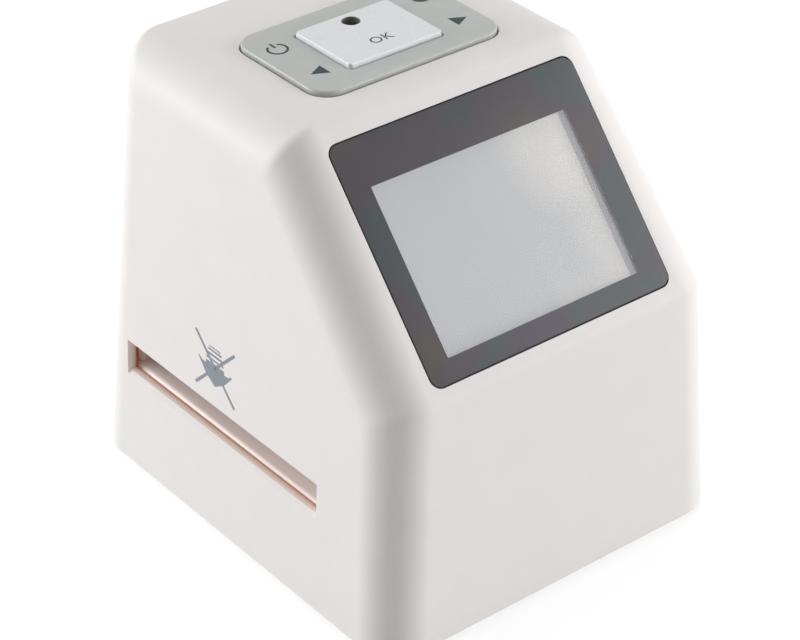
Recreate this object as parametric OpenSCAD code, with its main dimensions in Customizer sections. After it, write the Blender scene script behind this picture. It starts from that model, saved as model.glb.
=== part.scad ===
// Desktop scanner for film negatives and slides: a tall wedge of a housing with
// a display on its slope, a rocking key plate on top and a slot right through
// its foot for the film holder. Millimetres, +Z up, +Y to the back, and the
// origin on the surface that the feet stand on.

/* [Housing] */
// Width of the housing at its foot
body_w = 92.2; // [90:0.1:98]
// Depth of the housing at its foot
body_d = 106.4; // [105:0.1:112]
// Height of the housing shell
body_h = 101.3; // [100:0.1:106]
// Angle of the display slope from level
slope_angle = 49.2; // [48:0.1:51]
// Lean of each side wall
side_draft = 3.2; // [2.6:0.1:3.6]
// Lean of the front wall
front_draft = 2; // [1.5:0.1:3]
// Lean of the back wall
back_draft = 5; // [4:0.1:5.5]
// Radius of the long rounded edges at the sides
edge_r = 10; // [8:0.5:11]
// Radius of the creases that run across
crease_r = 2.6; // [1:0.1:4]
// Thickness of the moulded walls
wall = 2.2; // [1.8:0.1:2.4]
// Gap between the housing and the covers that close it
cover_gap = 0.2; // [0.1:0.05:0.3]

/* [Base] */
// Height that the rubber feet lift the housing
foot_h = 1; // [0.6:0.1:2]
// Diameter of a rubber foot
foot_d = 9; // [7:0.5:11]
// Depth of the socket that a foot is glued into
foot_socket = 0.9; // [0.5:0.1:1.1]
// Thickness of the base plate
base_t = 2.2; // [2:0.1:2.6]
// Shank radius of the long screws that clamp base, film guide and housing
long_screw_r = 1.15; // [1:0.05:1.3]
// Length of thread in the housing boss
long_screw_bite = 9; // [6:0.5:12]

/* [Film passage] */
// Height of the slot's lower edge above the foot of the housing
slot_z = 23; // [22.6:0.1:25]
// Height of the slot
slot_h = 7.8; // [7:0.1:8.2]
// Distance of the slot behind the foot of the front wall
slot_front = 24.8; // [24:0.1:26]
// Distance of the slot before the foot of the back wall
slot_rear = 13.5; // [13:0.1:15]
// Bevel along the lower outer edge of the slot
slot_bevel = 0.7; // [0.3:0.1:1]
// Height of the film guide's floor above the slot's lower edge
guide_rise = 0.6; // [0.4:0.1:1]
// Thickness of the film guide plates
guide_t = 2; // [1.6:0.1:2.4]
// Thickness of the film guide's end walls
guide_wall = 2.5; // [2:0.1:3]
// Gap between the film guide and the housing wall
guide_gap = 0.4; // [0.3:0.1:0.8]
// Picture opening, along the film
gate_w = 40; // [37:0.5:42]
// Picture opening, across the film
gate_d = 28; // [25:0.5:30]

/* [Display] */
// Width of the display lens
lens_w = 62.3; // [60:0.1:64]
// Height of the display lens
lens_h = 51.4; // [49:0.1:52]
// Corner radius of the lens
lens_r = 2.4; // [1:0.1:3]
// Thickness of the lens
lens_t = 1; // [0.8:0.1:1.1]
// Thickness of the tape that holds the lens
tape_t = 0.15; // [0.1:0.05:0.2]
// Gap round the lens
lens_gap = 0.2; // [0.1:0.05:0.3]
// Distance of the lens above the front crease, along the slope
lens_up = 3.1; // [2.4:0.1:3.8]
// Distance of the lens below the top crease, along the slope
lens_down = 4.7; // [4:0.1:6]
// Width of the visible picture window
view_w = 50; // [48:0.1:51]
// Height of the visible picture window
view_h = 36.4; // [35:0.1:38]
// Distance of the picture window above the lens's lower edge
view_up = 4.8; // [4:0.1:6]
// Width of the display panel
panel_w = 57.6; // [56.5:0.1:58.5]
// Height of the display panel
panel_h = 40.8; // [40.2:0.1:41.5]
// Thickness of the display panel's glass
panel_t = 1.4; // [1:0.1:1.8]
// Thickness of the backlight tray behind the panel
tray_t = 2.3; // [1.8:0.1:3]
// Width of the display board
disp_board_w = 71; // [69.5:0.5:73]
// Height of the display board
disp_board_h = 40; // [38:0.5:42]

/* [Keys] */
// Width of the rocking key plate
key_w = 47.5; // [45:0.1:50]
// Depth of the rocking key plate
key_d = 30.8; // [29:0.1:32]
// Corner radius of the key plate
key_r = 5; // [3:0.5:7]
// Place of the middle of the key plate along the depth
key_y = 10; // [9:0.1:11]
// Height of the key plate's face above the housing
key_up = 1.1; // [0.9:0.1:1.5]
// Gap round the key plate
key_gap = 0.3; // [0.25:0.05:0.5]
// Width of the OK button
ok_w = 24.1; // [22:0.1:24.5]
// Depth of the OK button
ok_d = 18.9; // [17:0.1:19.5]
// Height of the OK button's face above the key plate
ok_up = 1; // [0.9:0.1:1.4]
// Gap round the OK button
ok_gap = 0.3; // [0.25:0.05:0.5]
// Offset of the OK button to the left of the key plate's middle
ok_left = 0.6; // [0:0.1:1]
// Offset of the OK button to the front of the key plate's middle
ok_front = 0.5; // [0:0.1:1]
// Diameter of the hole over the light in the OK button
led_hole_d = 4; // [3:0.1:4.4]
// Distance of the light from the back edge of the OK button
led_in = 3.5; // [3:0.1:4]
// Travel of the OK button
ok_travel = 0.5; // [0.3:0.05:0.5]
// Distance of the corner switches inside the plate's sides
switch_in_x = 6.1; // [5.8:0.1:6.6]
// Distance of the corner switches inside the plate's front and back
switch_in_y = 8.4; // [7.6:0.1:9.2]
// Side of a switch
switch_w = 6; // [5.8:0.1:6.2]
// Height of a switch
switch_h = 3.1; // [2.8:0.1:3.4]

/* [Optics] */
// Width of the picture opening's hood beyond the opening
tower_extra = 6; // [5:0.5:7]
// Height of the hood
neck_up = 27; // [25:0.5:29]
// Width of the hood's neck
neck_w = 24; // [23:0.5:25]
// Height of the lens collar on the neck
collar_h = 6; // [5:0.5:7]
// Radius of the lens barrel
barrel_r = 7; // [6.6:0.1:7.4]
// Width of the sensor's mount
mount_w = 28; // [27:0.5:29]
// Height of the sensor's mount
mount_h = 13; // [12:0.5:14]
// Side of the image sensor
sensor_w = 11; // [10:0.5:12]

/* [Boards and sockets] */
// Thickness of the large circuit boards
board_t = 1.6; // [1.2:0.1:1.6]
// Height of the main board above the base plate
board_up = 4.4; // [4:0.1:5]
// Width of the main board
main_board_w = 64; // [62:0.5:66]
// Distance of the main board behind the foot of the front wall
main_board_in = 18; // [17:0.5:20]
// Side of the processor
processor_w = 14; // [12:0.5:16]
// Place of the USB socket to the left of the middle
usb_left = 21; // [19:0.5:23]
// Place of the video jack to the left of the middle
av_left = 6; // [5:0.5:7]
// Place of the card socket to the right of the middle
card_right = 13; // [12:0.5:14]
// Depth of the card socket
card_depth = 28; // [26:0.5:29]
// Bore of the video jack
av_bore_d = 3.6; // [3.5:0.05:3.7]

/* [Hidden] */
$fn = 48;
e = 0.01;                                   // overshoot of cuts
big = 300;

// Planes of the housing: outer faces at a height z above its foot.
function side_x(z) = body_w / 2 - z * tan(side_draft);
function front_y(z) = -body_d / 2 + z * tan(front_draft);
function back_y(z) = body_d / 2 - z * tan(back_draft);
// Half width of the housing at depth y, round the corners included.
function plan_x(y, z) = let (d = max(0, y - back_y(z) + edge_r, front_y(z) + edge_r - y))
    side_x(z) - edge_r + sqrt(max(0, edge_r * edge_r - d * d));
slope_len = lens_up + lens_h + lens_down;
slope_run = slope_len * cos(slope_angle);
crease_h = body_h - slope_len * sin(slope_angle);
crease_y = front_y(crease_h);
below = 12;                                 // the form runs on under the foot

// Film passage.
slot_top = slot_z + slot_h;
slot_y0 = front_y(0) + slot_front;
slot_y1 = back_y(0) - slot_rear;
slot_y = (slot_y0 + slot_y1) / 2;
slot_len = slot_y1 - slot_y0;
floor_z = slot_z + guide_rise;              // the holder slides on this level
guide_top = slot_top + 0.2;                 // underside of the upper guide
guide_x = side_x(floor_z) - wall - guide_gap;
upper_x = side_x(guide_top + guide_t) - wall - guide_gap;
guide_y0 = slot_y0 - guide_wall;
guide_y1 = slot_y1 + guide_wall;
guide_screw_x = 30;
guide_screw_out = 1.8;                      // screw pads outside the end walls

// Corner legs of the lower guide and the housing bosses over them.
boss_r = 3;
leg_front_in = [6.9, 11];                   // in from the side and the front wall
leg_rear_in = [8.2, 5.4];                   // in from the side and the back wall
leg_front = [side_x(0) - wall - leg_front_in[0], front_y(0) + wall + leg_front_in[1]];
leg_rear = [side_x(0) - wall - leg_rear_in[0], back_y(0) - wall - leg_rear_in[1]];
leg_top = floor_z + 2;
boss_top = leg_top + long_screw_bite + 6;

// Display stack, measured down from the slope.
lens_sink = 0.05;
recess = lens_sink + lens_t + tape_t;
view_y = lens_up + view_up + view_h / 2;    // middle of the window up the slope
throat_w = view_w + 1.8;
throat_h = view_h + 2;
polar_top = recess + 0.5;
panel_top = wall + 0.1;
tray_w = panel_w + 2.7;
tray_h = panel_h + 2;
tray_back = panel_top + panel_t + tray_t;
disp_board_t = 1.2;
disp_boss = [disp_board_w / 2 - 2.5, disp_board_h / 2 - 4];

// Key stack, heights above the foot of the housing.
switch_x = key_w / 2 - switch_in_x;
switch_y = key_d / 2 - switch_in_y;
key_top = body_h + key_up;
deck_t = 1.6;
deck_under = key_top - deck_t;
lip_top = body_h - wall - 1.2;              // flange that keeps the plate in
lip_t = 1;
lip_out = 1.2;
ok_top = key_top + ok_up;
post_end = body_h - 4.8;                    // foot of the pressing posts
plunger_h = 2.8;
plunger_r = 1.6;
switch_bore_r = plunger_r + 0.4;
switch_top = post_end - 2.1;
switch_floor = post_end - plunger_h - ok_travel - 0.3;
key_board_top = switch_top - switch_h;
mat_t = 0.8;
mat_z = switch_top + 0.8;
key_boss = [key_w / 2 + 6.6, key_d / 2 - 1.8];
ok_x = -ok_left;
ok_y = key_y - ok_front;
led_at = [ok_x, ok_y + ok_d / 2 - led_in];
led_r = 1.2;

// Bottom stack.
main_board_z = base_t + board_up;
main_board_top = main_board_z + board_t;
main_board_y0 = front_y(0) + main_board_in;
main_board_y1 = back_y(main_board_top) - wall - 0.9;
stand_x = main_board_w / 2 - 3.5;
stand_y0 = main_board_y0 + 4;
stand_y1 = main_board_y1 - card_depth - 6;

// Light box under the picture opening.
box_w = gate_w + 12;
box_d = gate_d + 12;
box_wall = 1.6;
box_floor = 1.2;
box_top = floor_z - guide_t;
box_z = main_board_top + 3.3;
diff_t = 1.5;
led_board_t = 1.2;

// Optics over the picture opening.
tower_z = guide_top + guide_t;
tower_flange = 2;
tower_w = gate_w + tower_extra;
tower_d = gate_d + tower_extra;
tower_screw = [tower_w / 2 + 2.8, tower_d / 2 + 2.8];
neck_z = tower_z + neck_up;
collar_top = neck_z + collar_h;
collar_r = barrel_r + 2.5;
sensor_z = neck_z + mount_h;
sensor_t = 1.2;
mount_screw = mount_w / 2 - 2;

// Small screws, the holes they cut into and the holes they pass.
screw_r = 0.8;
screw_head_r = 1.8;
screw_head_t = 0.8;
screw_bite = 3.3;
screw_hole_r = screw_r + 0.05;
screw_pass_r = screw_r + 0.3;

// ---------------------------------------------------------------- helpers

module raise() translate([0, 0, foot_h]) children();

// Side view of the housing, drawn in by i, with creases of radius r; the inner
// creases, where the wall leaves no radius, are sharp.
module side_view(i, r)
    if (r > 0.5) offset(r = r, $fn = 32) side_outline(i + r);
    else side_outline(i);
module side_outline(i)
    offset(delta = -i)
        polygon([[front_y(-below), -below], [back_y(-below), -below],
                 [back_y(body_h), body_h], [crease_y + slope_run, body_h],
                 [crease_y, crease_h]]);

// The housing's rounded form, drawn in by i: side views that shrink along a
// quarter circle towards each leaning side wall.
module form(i, steps = 8) {
    r = edge_r - i;
    hull()
        for (s = [-1, 1], k = [0 : steps])
            multmatrix([[1, 0, -s * tan(side_draft),
                         s * (body_w / 2 - i - r * (1 - sin(90 * k / steps)))],
                        [0, 1, 0, 0], [0, 0, 1, 0], [0, 0, 0, 1]])
                translate([s > 0 ? -e : 0, 0, 0])
                    rotate([90, 0, 90]) linear_extrude(e)
                        side_view(i + r * (1 - cos(90 * k / steps)),
                                  crease_r - i);
}

// A layer of the form between two heights.
module form_layer(i, z0, z1)
    intersection() {
        form(i);
        translate([-big / 2, -big / 2, z0]) cube([big, big, z1 - z0]);
    }

// Frames on the faces: x to the right, and z out of the slope, y up it; on the
// back y points out and z runs up the face.
module on_slope() translate([0, crease_y, crease_h]) rotate([slope_angle, 0, 0]) children();
module on_back() translate([0, body_d / 2, 0]) rotate([back_draft, 0, 0]) children();

module rrect(w, d, r) {
    square([w - 2 * r, d], center = true);
    square([w, d - 2 * r], center = true);
    for (x = [-1, 1], y = [-1, 1])
        translate([x * (w / 2 - r), y * (d / 2 - r)]) circle(r);
}

module slab(w, d, r, z0, z1) translate([0, 0, z0]) linear_extrude(z1 - z0) rrect(w, d, r);

module at_corners(x, y) for (sx = [-1, 1], sy = [-1, 1]) translate([sx * x, sy * y, 0]) children();

// A pan-head screw that points up from its head's underside at z = 0.
module screw_up(r, len, head_r, head_t, drive = true)
    difference() {
        union() {
            translate([0, 0, -head_t]) cylinder(r = head_r, h = head_t);
            cylinder(r = r, h = len);
        }
        if (drive) for (a = [0, 90]) rotate([0, 0, a])
            translate([-head_r * 0.6, -0.25, -head_t - e]) cube([head_r * 1.2, 0.5, head_t * 0.6]);
    }

// A small screw that points up from the sheet of thickness t that it clamps.
module small_screw(t, bite = screw_bite) screw_up(screw_r, t + bite, screw_head_r, screw_head_t);

// ---------------------------------------------------------------- enclosure

cover_w = 2 * (side_x(0) - edge_r) - 9;     // rear cover
cover_z0 = 5;
cover_z1 = (body_h - 13) / cos(back_draft);
cover_r = 4;
cover_lap = 2.4;
cover_skin = wall / 2;
plug_w = cover_w - 2 * (cover_lap + cover_gap);
plug_h = cover_z1 - cover_z0 - 2 * (cover_lap + cover_gap);
hook_up = 30;                               // hooks above and below the middle

module slot_cut()
    for (s = [0, 1]) mirror([s, 0, 0])
        translate([0, slot_y1, 0]) rotate([90, 0, 0]) linear_extrude(slot_len)
            polygon([[-side_x(slot_z) + slot_bevel, slot_z],
                     [-side_x(slot_z) - 8, slot_z - 8 - slot_bevel],
                     [-side_x(slot_z) - 8, slot_top],
                     [-side_x(slot_z) + 12, slot_top],
                     [-side_x(slot_z) + 12, slot_z]]);

module main_housing() color("#e6e2e1") raise() difference() {
    union() {
        difference() {
            form_layer(0, 0, body_h + 1);
            form(wall);
        }
        // Bosses over the legs of the film guide, each webbed to its side wall.
        for (s = [-1, 1], p = [leg_front, leg_rear]) {
            translate([s * p[0], p[1], leg_top]) cylinder(r = boss_r, h = boss_top - leg_top);
            let (x = min(plan_x(p[1] - 0.8, boss_top), plan_x(p[1] + 0.8, boss_top)) - 0.6)
                translate([s > 0 ? p[0] : -x, p[1] - 0.8, leg_top])
                    cube([x - p[0], 1.6, boss_top - leg_top]);
        }
        // Bosses for the display board, under the slope.
        on_slope() translate([0, view_y, 0]) at_corners(disp_boss[0], disp_boss[1])
            translate([0, 0, -tray_back]) cylinder(r = 2.3, h = tray_back - 1);
        // Bosses for the key board, under the top.
        translate([0, key_y, 0]) at_corners(key_boss[0], key_boss[1])
            translate([0, 0, key_board_top]) cylinder(r = 2.3, h = body_h - 1 - key_board_top);
    }
    for (s = [-1, 1], p = [leg_front, leg_rear])
        translate([s * p[0], p[1], leg_top - e])
            cylinder(r = long_screw_r + 0.05, h = long_screw_bite + 1);
    slot_cut();
    // Seat and throat of the display.
    on_slope() {
        translate([0, lens_up + lens_h / 2, 0])
            slab(lens_w + 2 * lens_gap, lens_h + 2 * lens_gap, lens_r + lens_gap, -recess, 8);
        translate([0, view_y, 0]) slab(throat_w, throat_h, 1, -wall - 2, 1);
        translate([0, view_y, 0]) at_corners(disp_boss[0], disp_boss[1])
            translate([0, 0, -tray_back - e]) cylinder(r = screw_hole_r, h = tray_back - wall);
    }
    // Opening for the key plate.
    translate([0, key_y, 0])
        slab(key_w + 2 * key_gap, key_d + 2 * key_gap, key_r + key_gap, body_h - wall - 1, body_h + 2);
    translate([0, key_y, 0]) at_corners(key_boss[0], key_boss[1])
        translate([0, 0, key_board_top - e]) cylinder(r = screw_hole_r, h = 6);
    // Opening for the rear cover: a shallow seat, then right through.
    on_back() translate([0, 0, (cover_z0 + cover_z1) / 2]) rotate([90, 0, 0]) {
        slab(cover_w, cover_z1 - cover_z0, cover_r, -8, cover_skin);
        slab(cover_w - 2 * cover_lap, cover_z1 - cover_z0 - 2 * cover_lap, cover_r - 1, -8, wall + 4);
    }
}

// Rear cover: a skin in the seat and a plug through the opening, with four
// hooks behind the edge and openings for the three sockets.
usb_w = 7.7;
usb_h = 3.9;
av_w = 7;
av_h = 5.4;
av_depth = 12;
card_w = 28;
card_h = 3;
card_slot_w = 25;
socket_mid_usb = main_board_top + usb_h / 2;
socket_mid_av = main_board_top + av_h / 2;
card_slot_h = 2.5;
socket_mid_card = main_board_top + 0.3 + card_slot_h / 2;

module rear_cover() color("#e2dedd") raise() difference() {
    on_back() translate([0, 0, (cover_z0 + cover_z1) / 2]) rotate([90, 0, 0]) {
        ch = cover_z1 - cover_z0;
        slab(cover_w - 2 * cover_gap, ch - 2 * cover_gap, cover_r - cover_gap, 0, cover_skin);
        difference() {
            slab(plug_w, plug_h, cover_r - 1 - cover_gap, cover_skin, wall + 0.8);
            translate([0, -hook_up, 0]) slab(plug_w - 3, plug_h - 3 + 2 * hook_up, 1, wall, wall + 2);
        }
        // Hooks.
        for (sx = [-1, 1], sy = [-1, 1])
            translate([sx * (plug_w / 2 - 1.5), sy * hook_up - 4, 0])
                rotate([-90, 0, 0]) linear_extrude(8)
                    polygon([[0, -cover_skin], [0, -wall - 2.2], [sx * 1.5, -wall - 2.2],
                             [sx * 2.9, -wall - 0.2 - cover_gap], [sx * 1.5, -wall - 0.2 - cover_gap],
                             [sx * 1.5, -cover_skin]]);
    }
    // Openings for the sockets.
    translate([-usb_left - (usb_w + 0.6) / 2, back_y(0) - 12, socket_mid_usb - (usb_h + 0.6) / 2])
        cube([usb_w + 0.6, 20, usb_h + 0.6]);
    translate([-av_left, back_y(0) - 12, socket_mid_av]) rotate([-90, 0, 0])
        cylinder(d = av_bore_d + 2.4, h = 20);
    translate([card_right - (card_slot_w + 0.4) / 2, back_y(0) - 12, socket_mid_card - card_slot_h / 2])
        cube([card_slot_w + 0.4, 20, card_slot_h]);
    // Finger dip over the card slot.
    translate([card_right, back_y(socket_mid_card) + 5.6, socket_mid_card + 1]) sphere(r = 7);
}

module base_plate() color("#dcd8d7") raise() difference() {
    union() {
        form_layer(wall + cover_gap, 0, base_t);
        // Standoffs for the main board.
        for (s = [-1, 1], y = [stand_y0, stand_y1])
            translate([s * stand_x, y, base_t - 0.5]) cylinder(r = 2.4, h = board_up + 0.5);
    }
    for (s = [-1, 1], y = [stand_y0, stand_y1])
        translate([s * stand_x, y, base_t]) cylinder(r = screw_hole_r, h = board_up + 1);
    for (s = [-1, 1], p = [leg_front, leg_rear]) translate([s * p[0], p[1], -1]) {
        cylinder(r = long_screw_r + 0.25, h = base_t + 2);
        cylinder(r = 2.6, h = 1 + base_t - 1.2);
    }
    for (s = [-1, 1], p = foot_at) translate([s * p[0], p[1], -e])
        cylinder(d = foot_d + 0.3, h = foot_socket + e);
}

foot_at = [[side_x(0) - 15, front_y(0) + 24], [side_x(0) - 15, back_y(0) - 21]];
module foot(s, p) color("#3c3b3a") translate([s * p[0], p[1], 0])
    rotate_extrude() polygon([[0, 0], [foot_d / 2 - 0.6, 0], [foot_d / 2 - 0.15, 0.45],
        [foot_d / 2, foot_h], [foot_d / 2, foot_h + foot_socket], [0, foot_h + foot_socket]]);
module foot_front_left() foot(-1, foot_at[0]);
module foot_front_right() foot(1, foot_at[0]);
module foot_rear_left() foot(-1, foot_at[1]);
module foot_rear_right() foot(1, foot_at[1]);

module base_screws() color("#8d8f92") raise()
    for (s = [-1, 1], p = [leg_front, leg_rear])
        translate([s * p[0], p[1], base_t - 1.2])
            screw_up(long_screw_r, leg_top - base_t + 1.2 + long_screw_bite, 2.2, 0.9);

// ---------------------------------------------------------------- display

module display_lens() color("#54525a") raise() on_slope()
    translate([0, lens_up + lens_h / 2, 0])
        slab(lens_w, lens_h, lens_r, -lens_sink - lens_t, -lens_sink);

module lens_tape() color("#2b2b2d") raise() on_slope() translate([0, lens_up + lens_h / 2, 0])
    difference() {
        slab(lens_w - 1, lens_h - 1, lens_r - 0.5, -recess, -recess + tape_t);
        translate([0, view_y - lens_up - lens_h / 2, 0])
            slab(throat_w + 0.8, throat_h + 0.8, 1.2, -recess - 1, -recess + 1);
    }

module lcd_panel() color("#c4c6cb") raise() on_slope() translate([0, view_y, 0]) {
    slab(panel_w, panel_h, 0.5, -panel_top - panel_t, -panel_top);
    slab(throat_w - 0.8, throat_h - 0.6, 0.3, -panel_top - 0.2, -polar_top);
}

// Tray round the panel: floor, rim and four retaining nibs.
module backlight_tray() color("#d8d8d4") raise() on_slope() translate([0, view_y, 0]) difference() {
    slab(tray_w, tray_h, 0.8, -tray_back, -panel_top);
    slab(panel_w + 0.2, panel_h + 0.2, 0.6, -panel_top - panel_t, 0);
}

module display_board() color("#2f6a46") raise() on_slope() translate([0, view_y, 0]) difference() {
    slab(disp_board_w, disp_board_h, 1.5, -tray_back - disp_board_t, -tray_back);
    at_corners(disp_boss[0], disp_boss[1])
        translate([0, 0, -tray_back - 3]) cylinder(r = screw_pass_r, h = 6);
}

module display_screws() color("#8d8f92") raise() on_slope() translate([0, view_y, 0])
    at_corners(disp_boss[0], disp_boss[1])
        translate([0, 0, -tray_back - disp_board_t]) small_screw(disp_board_t);

// ---------------------------------------------------------------- keys

// Key plate: a shallow cap with a crowned edge, a lip under the housing wall,
// a throat for the OK button and four posts that press the corner switches.
module key_plate() color("#b2b6b2") raise() translate([0, key_y, 0]) {
    difference() {
        union() {
            hull() {
                slab(key_w, key_d, key_r, lip_top, key_top - 0.5);
                slab(key_w - 0.5, key_d - 0.5, key_r - 0.25, key_top - 0.5, key_top - 0.15);
                slab(key_w - 1.2, key_d - 1.2, key_r - 0.6, key_top - 0.5, key_top);
            }
            slab(key_w + 2 * lip_out, key_d + 2 * lip_out, key_r + lip_out, lip_top - lip_t, lip_top);
        }
        slab(key_w - 3, key_d - 3, key_r - 1.5, lip_top - lip_t - 1, deck_under);
        translate([ok_x, ok_y - key_y, 0])
            slab(ok_w + 2 * ok_gap, ok_d + 2 * ok_gap, 1 + ok_gap, lip_top - 5, key_top + 1);
    }
    at_corners(switch_x, switch_y) translate([0, 0, post_end])
        cylinder(r = 1.5, h = deck_under - post_end + 0.5);
    // Ribs that bear on the return mat, on the line of the side-to-side rock.
    for (s = [-1, 1]) translate([-1, s * (key_d / 2 - 2.4) - 0.8, mat_z + mat_t + 0.3])
        cube([2, 1.6, deck_under - mat_z - mat_t]);
}

module plunger(x, y) color("#3a3a3a") raise() translate([x, y, post_end - plunger_h])
    cylinder(r = plunger_r, h = plunger_h);
module power_plunger() plunger(-switch_x, key_y + switch_y);
module left_plunger() plunger(-switch_x, key_y - switch_y);
module right_plunger() plunger(switch_x, key_y - switch_y);
module mode_plunger() plunger(switch_x, key_y + switch_y);
module ok_plunger() plunger(ok_x, ok_y);

// Return mat: a silicone sheet that carries the plate, with holes for what
// passes through, on two rests of the key board.
module key_mat() color("#c9c6c0") raise() translate([0, key_y, 0]) difference() {
    slab(key_w - 4.4, key_d - 4.4, 4, mat_z, mat_z + mat_t);
    at_corners(switch_x, switch_y) translate([0, 0, mat_z - 1]) cylinder(r = plunger_r + 0.8, h = 3);
    translate([ok_x, ok_y - key_y, mat_z - 1]) cylinder(r = plunger_r + 1.6, h = 3);
    translate([led_at[0], led_at[1] - key_y, mat_z - 1]) cylinder(r = led_r + 1, h = 3);
}

// OK button: a cap with steep walls and a round rim in the plate's throat, hollow
// below, with a lip under the plate, a stem on its switch and a bore over the light.
ok_lip_top = deck_under - 0.9;
ok_lean = 0.2;                              // draw of the button's walls above the plate
module ok_button() color("#d8d9de") raise() translate([ok_x, ok_y, 0]) difference() {
    union() {
        hull() {
            slab(ok_w, ok_d, 1, ok_lip_top - 0.5, key_top);
            slab(ok_w - 2 * ok_lean, ok_d - 2 * ok_lean, 0.8, key_top, ok_top - 0.25);
            slab(ok_w - 2 * ok_lean - 0.2, ok_d - 2 * ok_lean - 0.2, 0.7, key_top, ok_top - 0.08);
            slab(ok_w - 2 * ok_lean - 0.6, ok_d - 2 * ok_lean - 0.6, 0.5, key_top, ok_top);
        }
        slab(ok_w + 2 * ok_gap + 1.6, ok_d + 2 * ok_gap + 1.6, 2, ok_lip_top - 0.8, ok_lip_top);
        translate([0, 0, post_end]) cylinder(r = 2, h = ok_top - 1 - post_end);
    }
    difference() {
        slab(ok_w - 2.6, ok_d - 2.6, 0.6, ok_lip_top - 2, ok_top - 1.5);
        translate([0, 0, post_end]) cylinder(r = 2, h = ok_top - post_end);
    }
    translate([led_at[0] - ok_x, led_at[1] - ok_y, ok_lip_top - 2]) cylinder(d = led_hole_d, h = 8);
}

module key_board() color("#2f6a46") raise() translate([0, key_y, 0]) {
    difference() {
        slab(2 * key_boss[0] + 6, 2 * key_boss[1] + 6, 2, key_board_top - board_t, key_board_top);
        at_corners(key_boss[0], key_boss[1])
            translate([0, 0, key_board_top - 3]) cylinder(r = screw_pass_r, h = 6);
    }
    // Rests under the mat, on the line of the front-to-back rock.
    for (s = [-1, 1]) translate([s * (key_w / 2 - 5) - 1.5, -1, key_board_top])
        cube([3, 2, mat_z - 0.3 - key_board_top]);
}

module key_board_screws() color("#8d8f92") raise() translate([0, key_y, 0])
    at_corners(key_boss[0], key_boss[1])
        translate([0, 0, key_board_top - board_t]) small_screw(board_t);

module tact_switch(x, y) color("#4a4a4c") raise() translate([x, y, 0]) difference() {
    translate([-switch_w / 2, -switch_w / 2, key_board_top]) cube([switch_w, switch_w, switch_h]);
    translate([0, 0, switch_floor]) cylinder(r = switch_bore_r, h = 5);
}
module power_switch() tact_switch(-switch_x, key_y + switch_y);
module left_switch() tact_switch(-switch_x, key_y - switch_y);
module right_switch() tact_switch(switch_x, key_y - switch_y);
module mode_switch() tact_switch(switch_x, key_y + switch_y);
module ok_switch() tact_switch(ok_x, ok_y);

module status_led() color("#e8efe6") raise() translate([led_at[0], led_at[1], key_board_top])
    rotate_extrude() {
        square([led_r, ok_top - 2.2 - led_r - key_board_top]);
        square([led_r + 0.35, 1.2]);
        translate([0, ok_top - 2.2 - led_r - key_board_top])
            intersection() { circle(led_r); square([led_r, led_r]); }
    }

// ---------------------------------------------------------------- film guides

// Lower guide: a floor with round lips at both mouths, end walls with round
// noses, the picture opening and four hollow legs for the long screws.
module film_guide_lower() color("#efeceb") raise() difference() {
    union() {
        translate([0, guide_y1, 0]) rotate([90, 0, 0]) linear_extrude(guide_y1 - guide_y0)
            bar(guide_x, floor_z - guide_t / 2, guide_t / 2);
        for (y = [guide_y0 + guide_wall / 2, guide_y1 - guide_wall / 2])
            translate([0, y, floor_z - guide_t / 2]) linear_extrude(guide_top - floor_z + guide_t / 2)
                bar(guide_x - 1.1, 0, guide_wall / 2);
        // Screw pads against the end walls.
        for (s = [-1, 1], y = [guide_y0 - guide_screw_out, guide_y1 + guide_screw_out])
            translate([s * guide_screw_x, y, floor_z - 1.2])
                cylinder(r = 2.3, h = guide_top - floor_z + 1.2);
        // Legs, each on an ear of the floor.
        for (s = [-1, 1], p = [leg_front, leg_rear]) translate([s * p[0], p[1], 0]) {
            translate([0, 0, base_t]) cylinder(r = boss_r - 0.1, h = leg_top - base_t);
            translate([-boss_r + 0.6, p[1] < 0 ? 0 : guide_y1 - 3 - p[1], floor_z - guide_t + 0.2])
                cube([2 * boss_r - 1.2, p[1] < 0 ? guide_y0 + 3 - p[1] : p[1] - guide_y1 + 3,
                      guide_t - 0.5]);
        }
    }
    for (s = [-1, 1], p = [leg_front, leg_rear])
        translate([s * p[0], p[1], 0]) cylinder(r = long_screw_r + 0.2, h = leg_top + 1);
    for (s = [-1, 1], y = [guide_y0 - guide_screw_out, guide_y1 + guide_screw_out])
        translate([s * guide_screw_x, y, guide_top - 5.5]) cylinder(r = screw_hole_r, h = 6.5);
    translate([0, slot_y, 0]) slab(gate_w, gate_d, 1.5, floor_z - guide_t - 1, floor_z + 1);
}

// A bar with round ends, of half length x and half thickness r, drawn flat.
module bar(x, y, r) {
    translate([-x + r, y - r]) square([2 * (x - r), 2 * r]);
    for (s = [-1, 1]) translate([s * (x - r), y]) circle(r);
}

module film_guide_upper() color("#e9e3df") raise() difference() {
    union() {
        translate([0, guide_y1, 0]) rotate([90, 0, 0]) linear_extrude(guide_y1 - guide_y0)
            bar(upper_x, guide_top + guide_t / 2, guide_t / 2);
        for (s = [-1, 1], y = [guide_y0 - guide_screw_out, guide_y1 + guide_screw_out])
            translate([s * guide_screw_x, y, guide_top]) cylinder(r = 2.3, h = guide_t);
    }
    for (s = [-1, 1], y = [guide_y0 - guide_screw_out, guide_y1 + guide_screw_out])
        translate([s * guide_screw_x, y, guide_top - 1]) cylinder(r = screw_pass_r, h = guide_t + 2);
    translate([0, slot_y, 0]) slab(gate_w + 1, gate_d + 1, 1.5, guide_top - 1, guide_top + guide_t + 1);
    translate([0, slot_y, 0]) at_corners(tower_screw[0], tower_screw[1])
        translate([0, 0, guide_top - 1]) cylinder(r = screw_hole_r, h = guide_t + 2);
}

module guide_screws() color("#8d8f92") raise()
    for (s = [-1, 1], y = [guide_y0 - guide_screw_out, guide_y1 + guide_screw_out])
        translate([s * guide_screw_x, y, guide_top + guide_t]) mirror([0, 0, 1])
            small_screw(guide_t);

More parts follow.
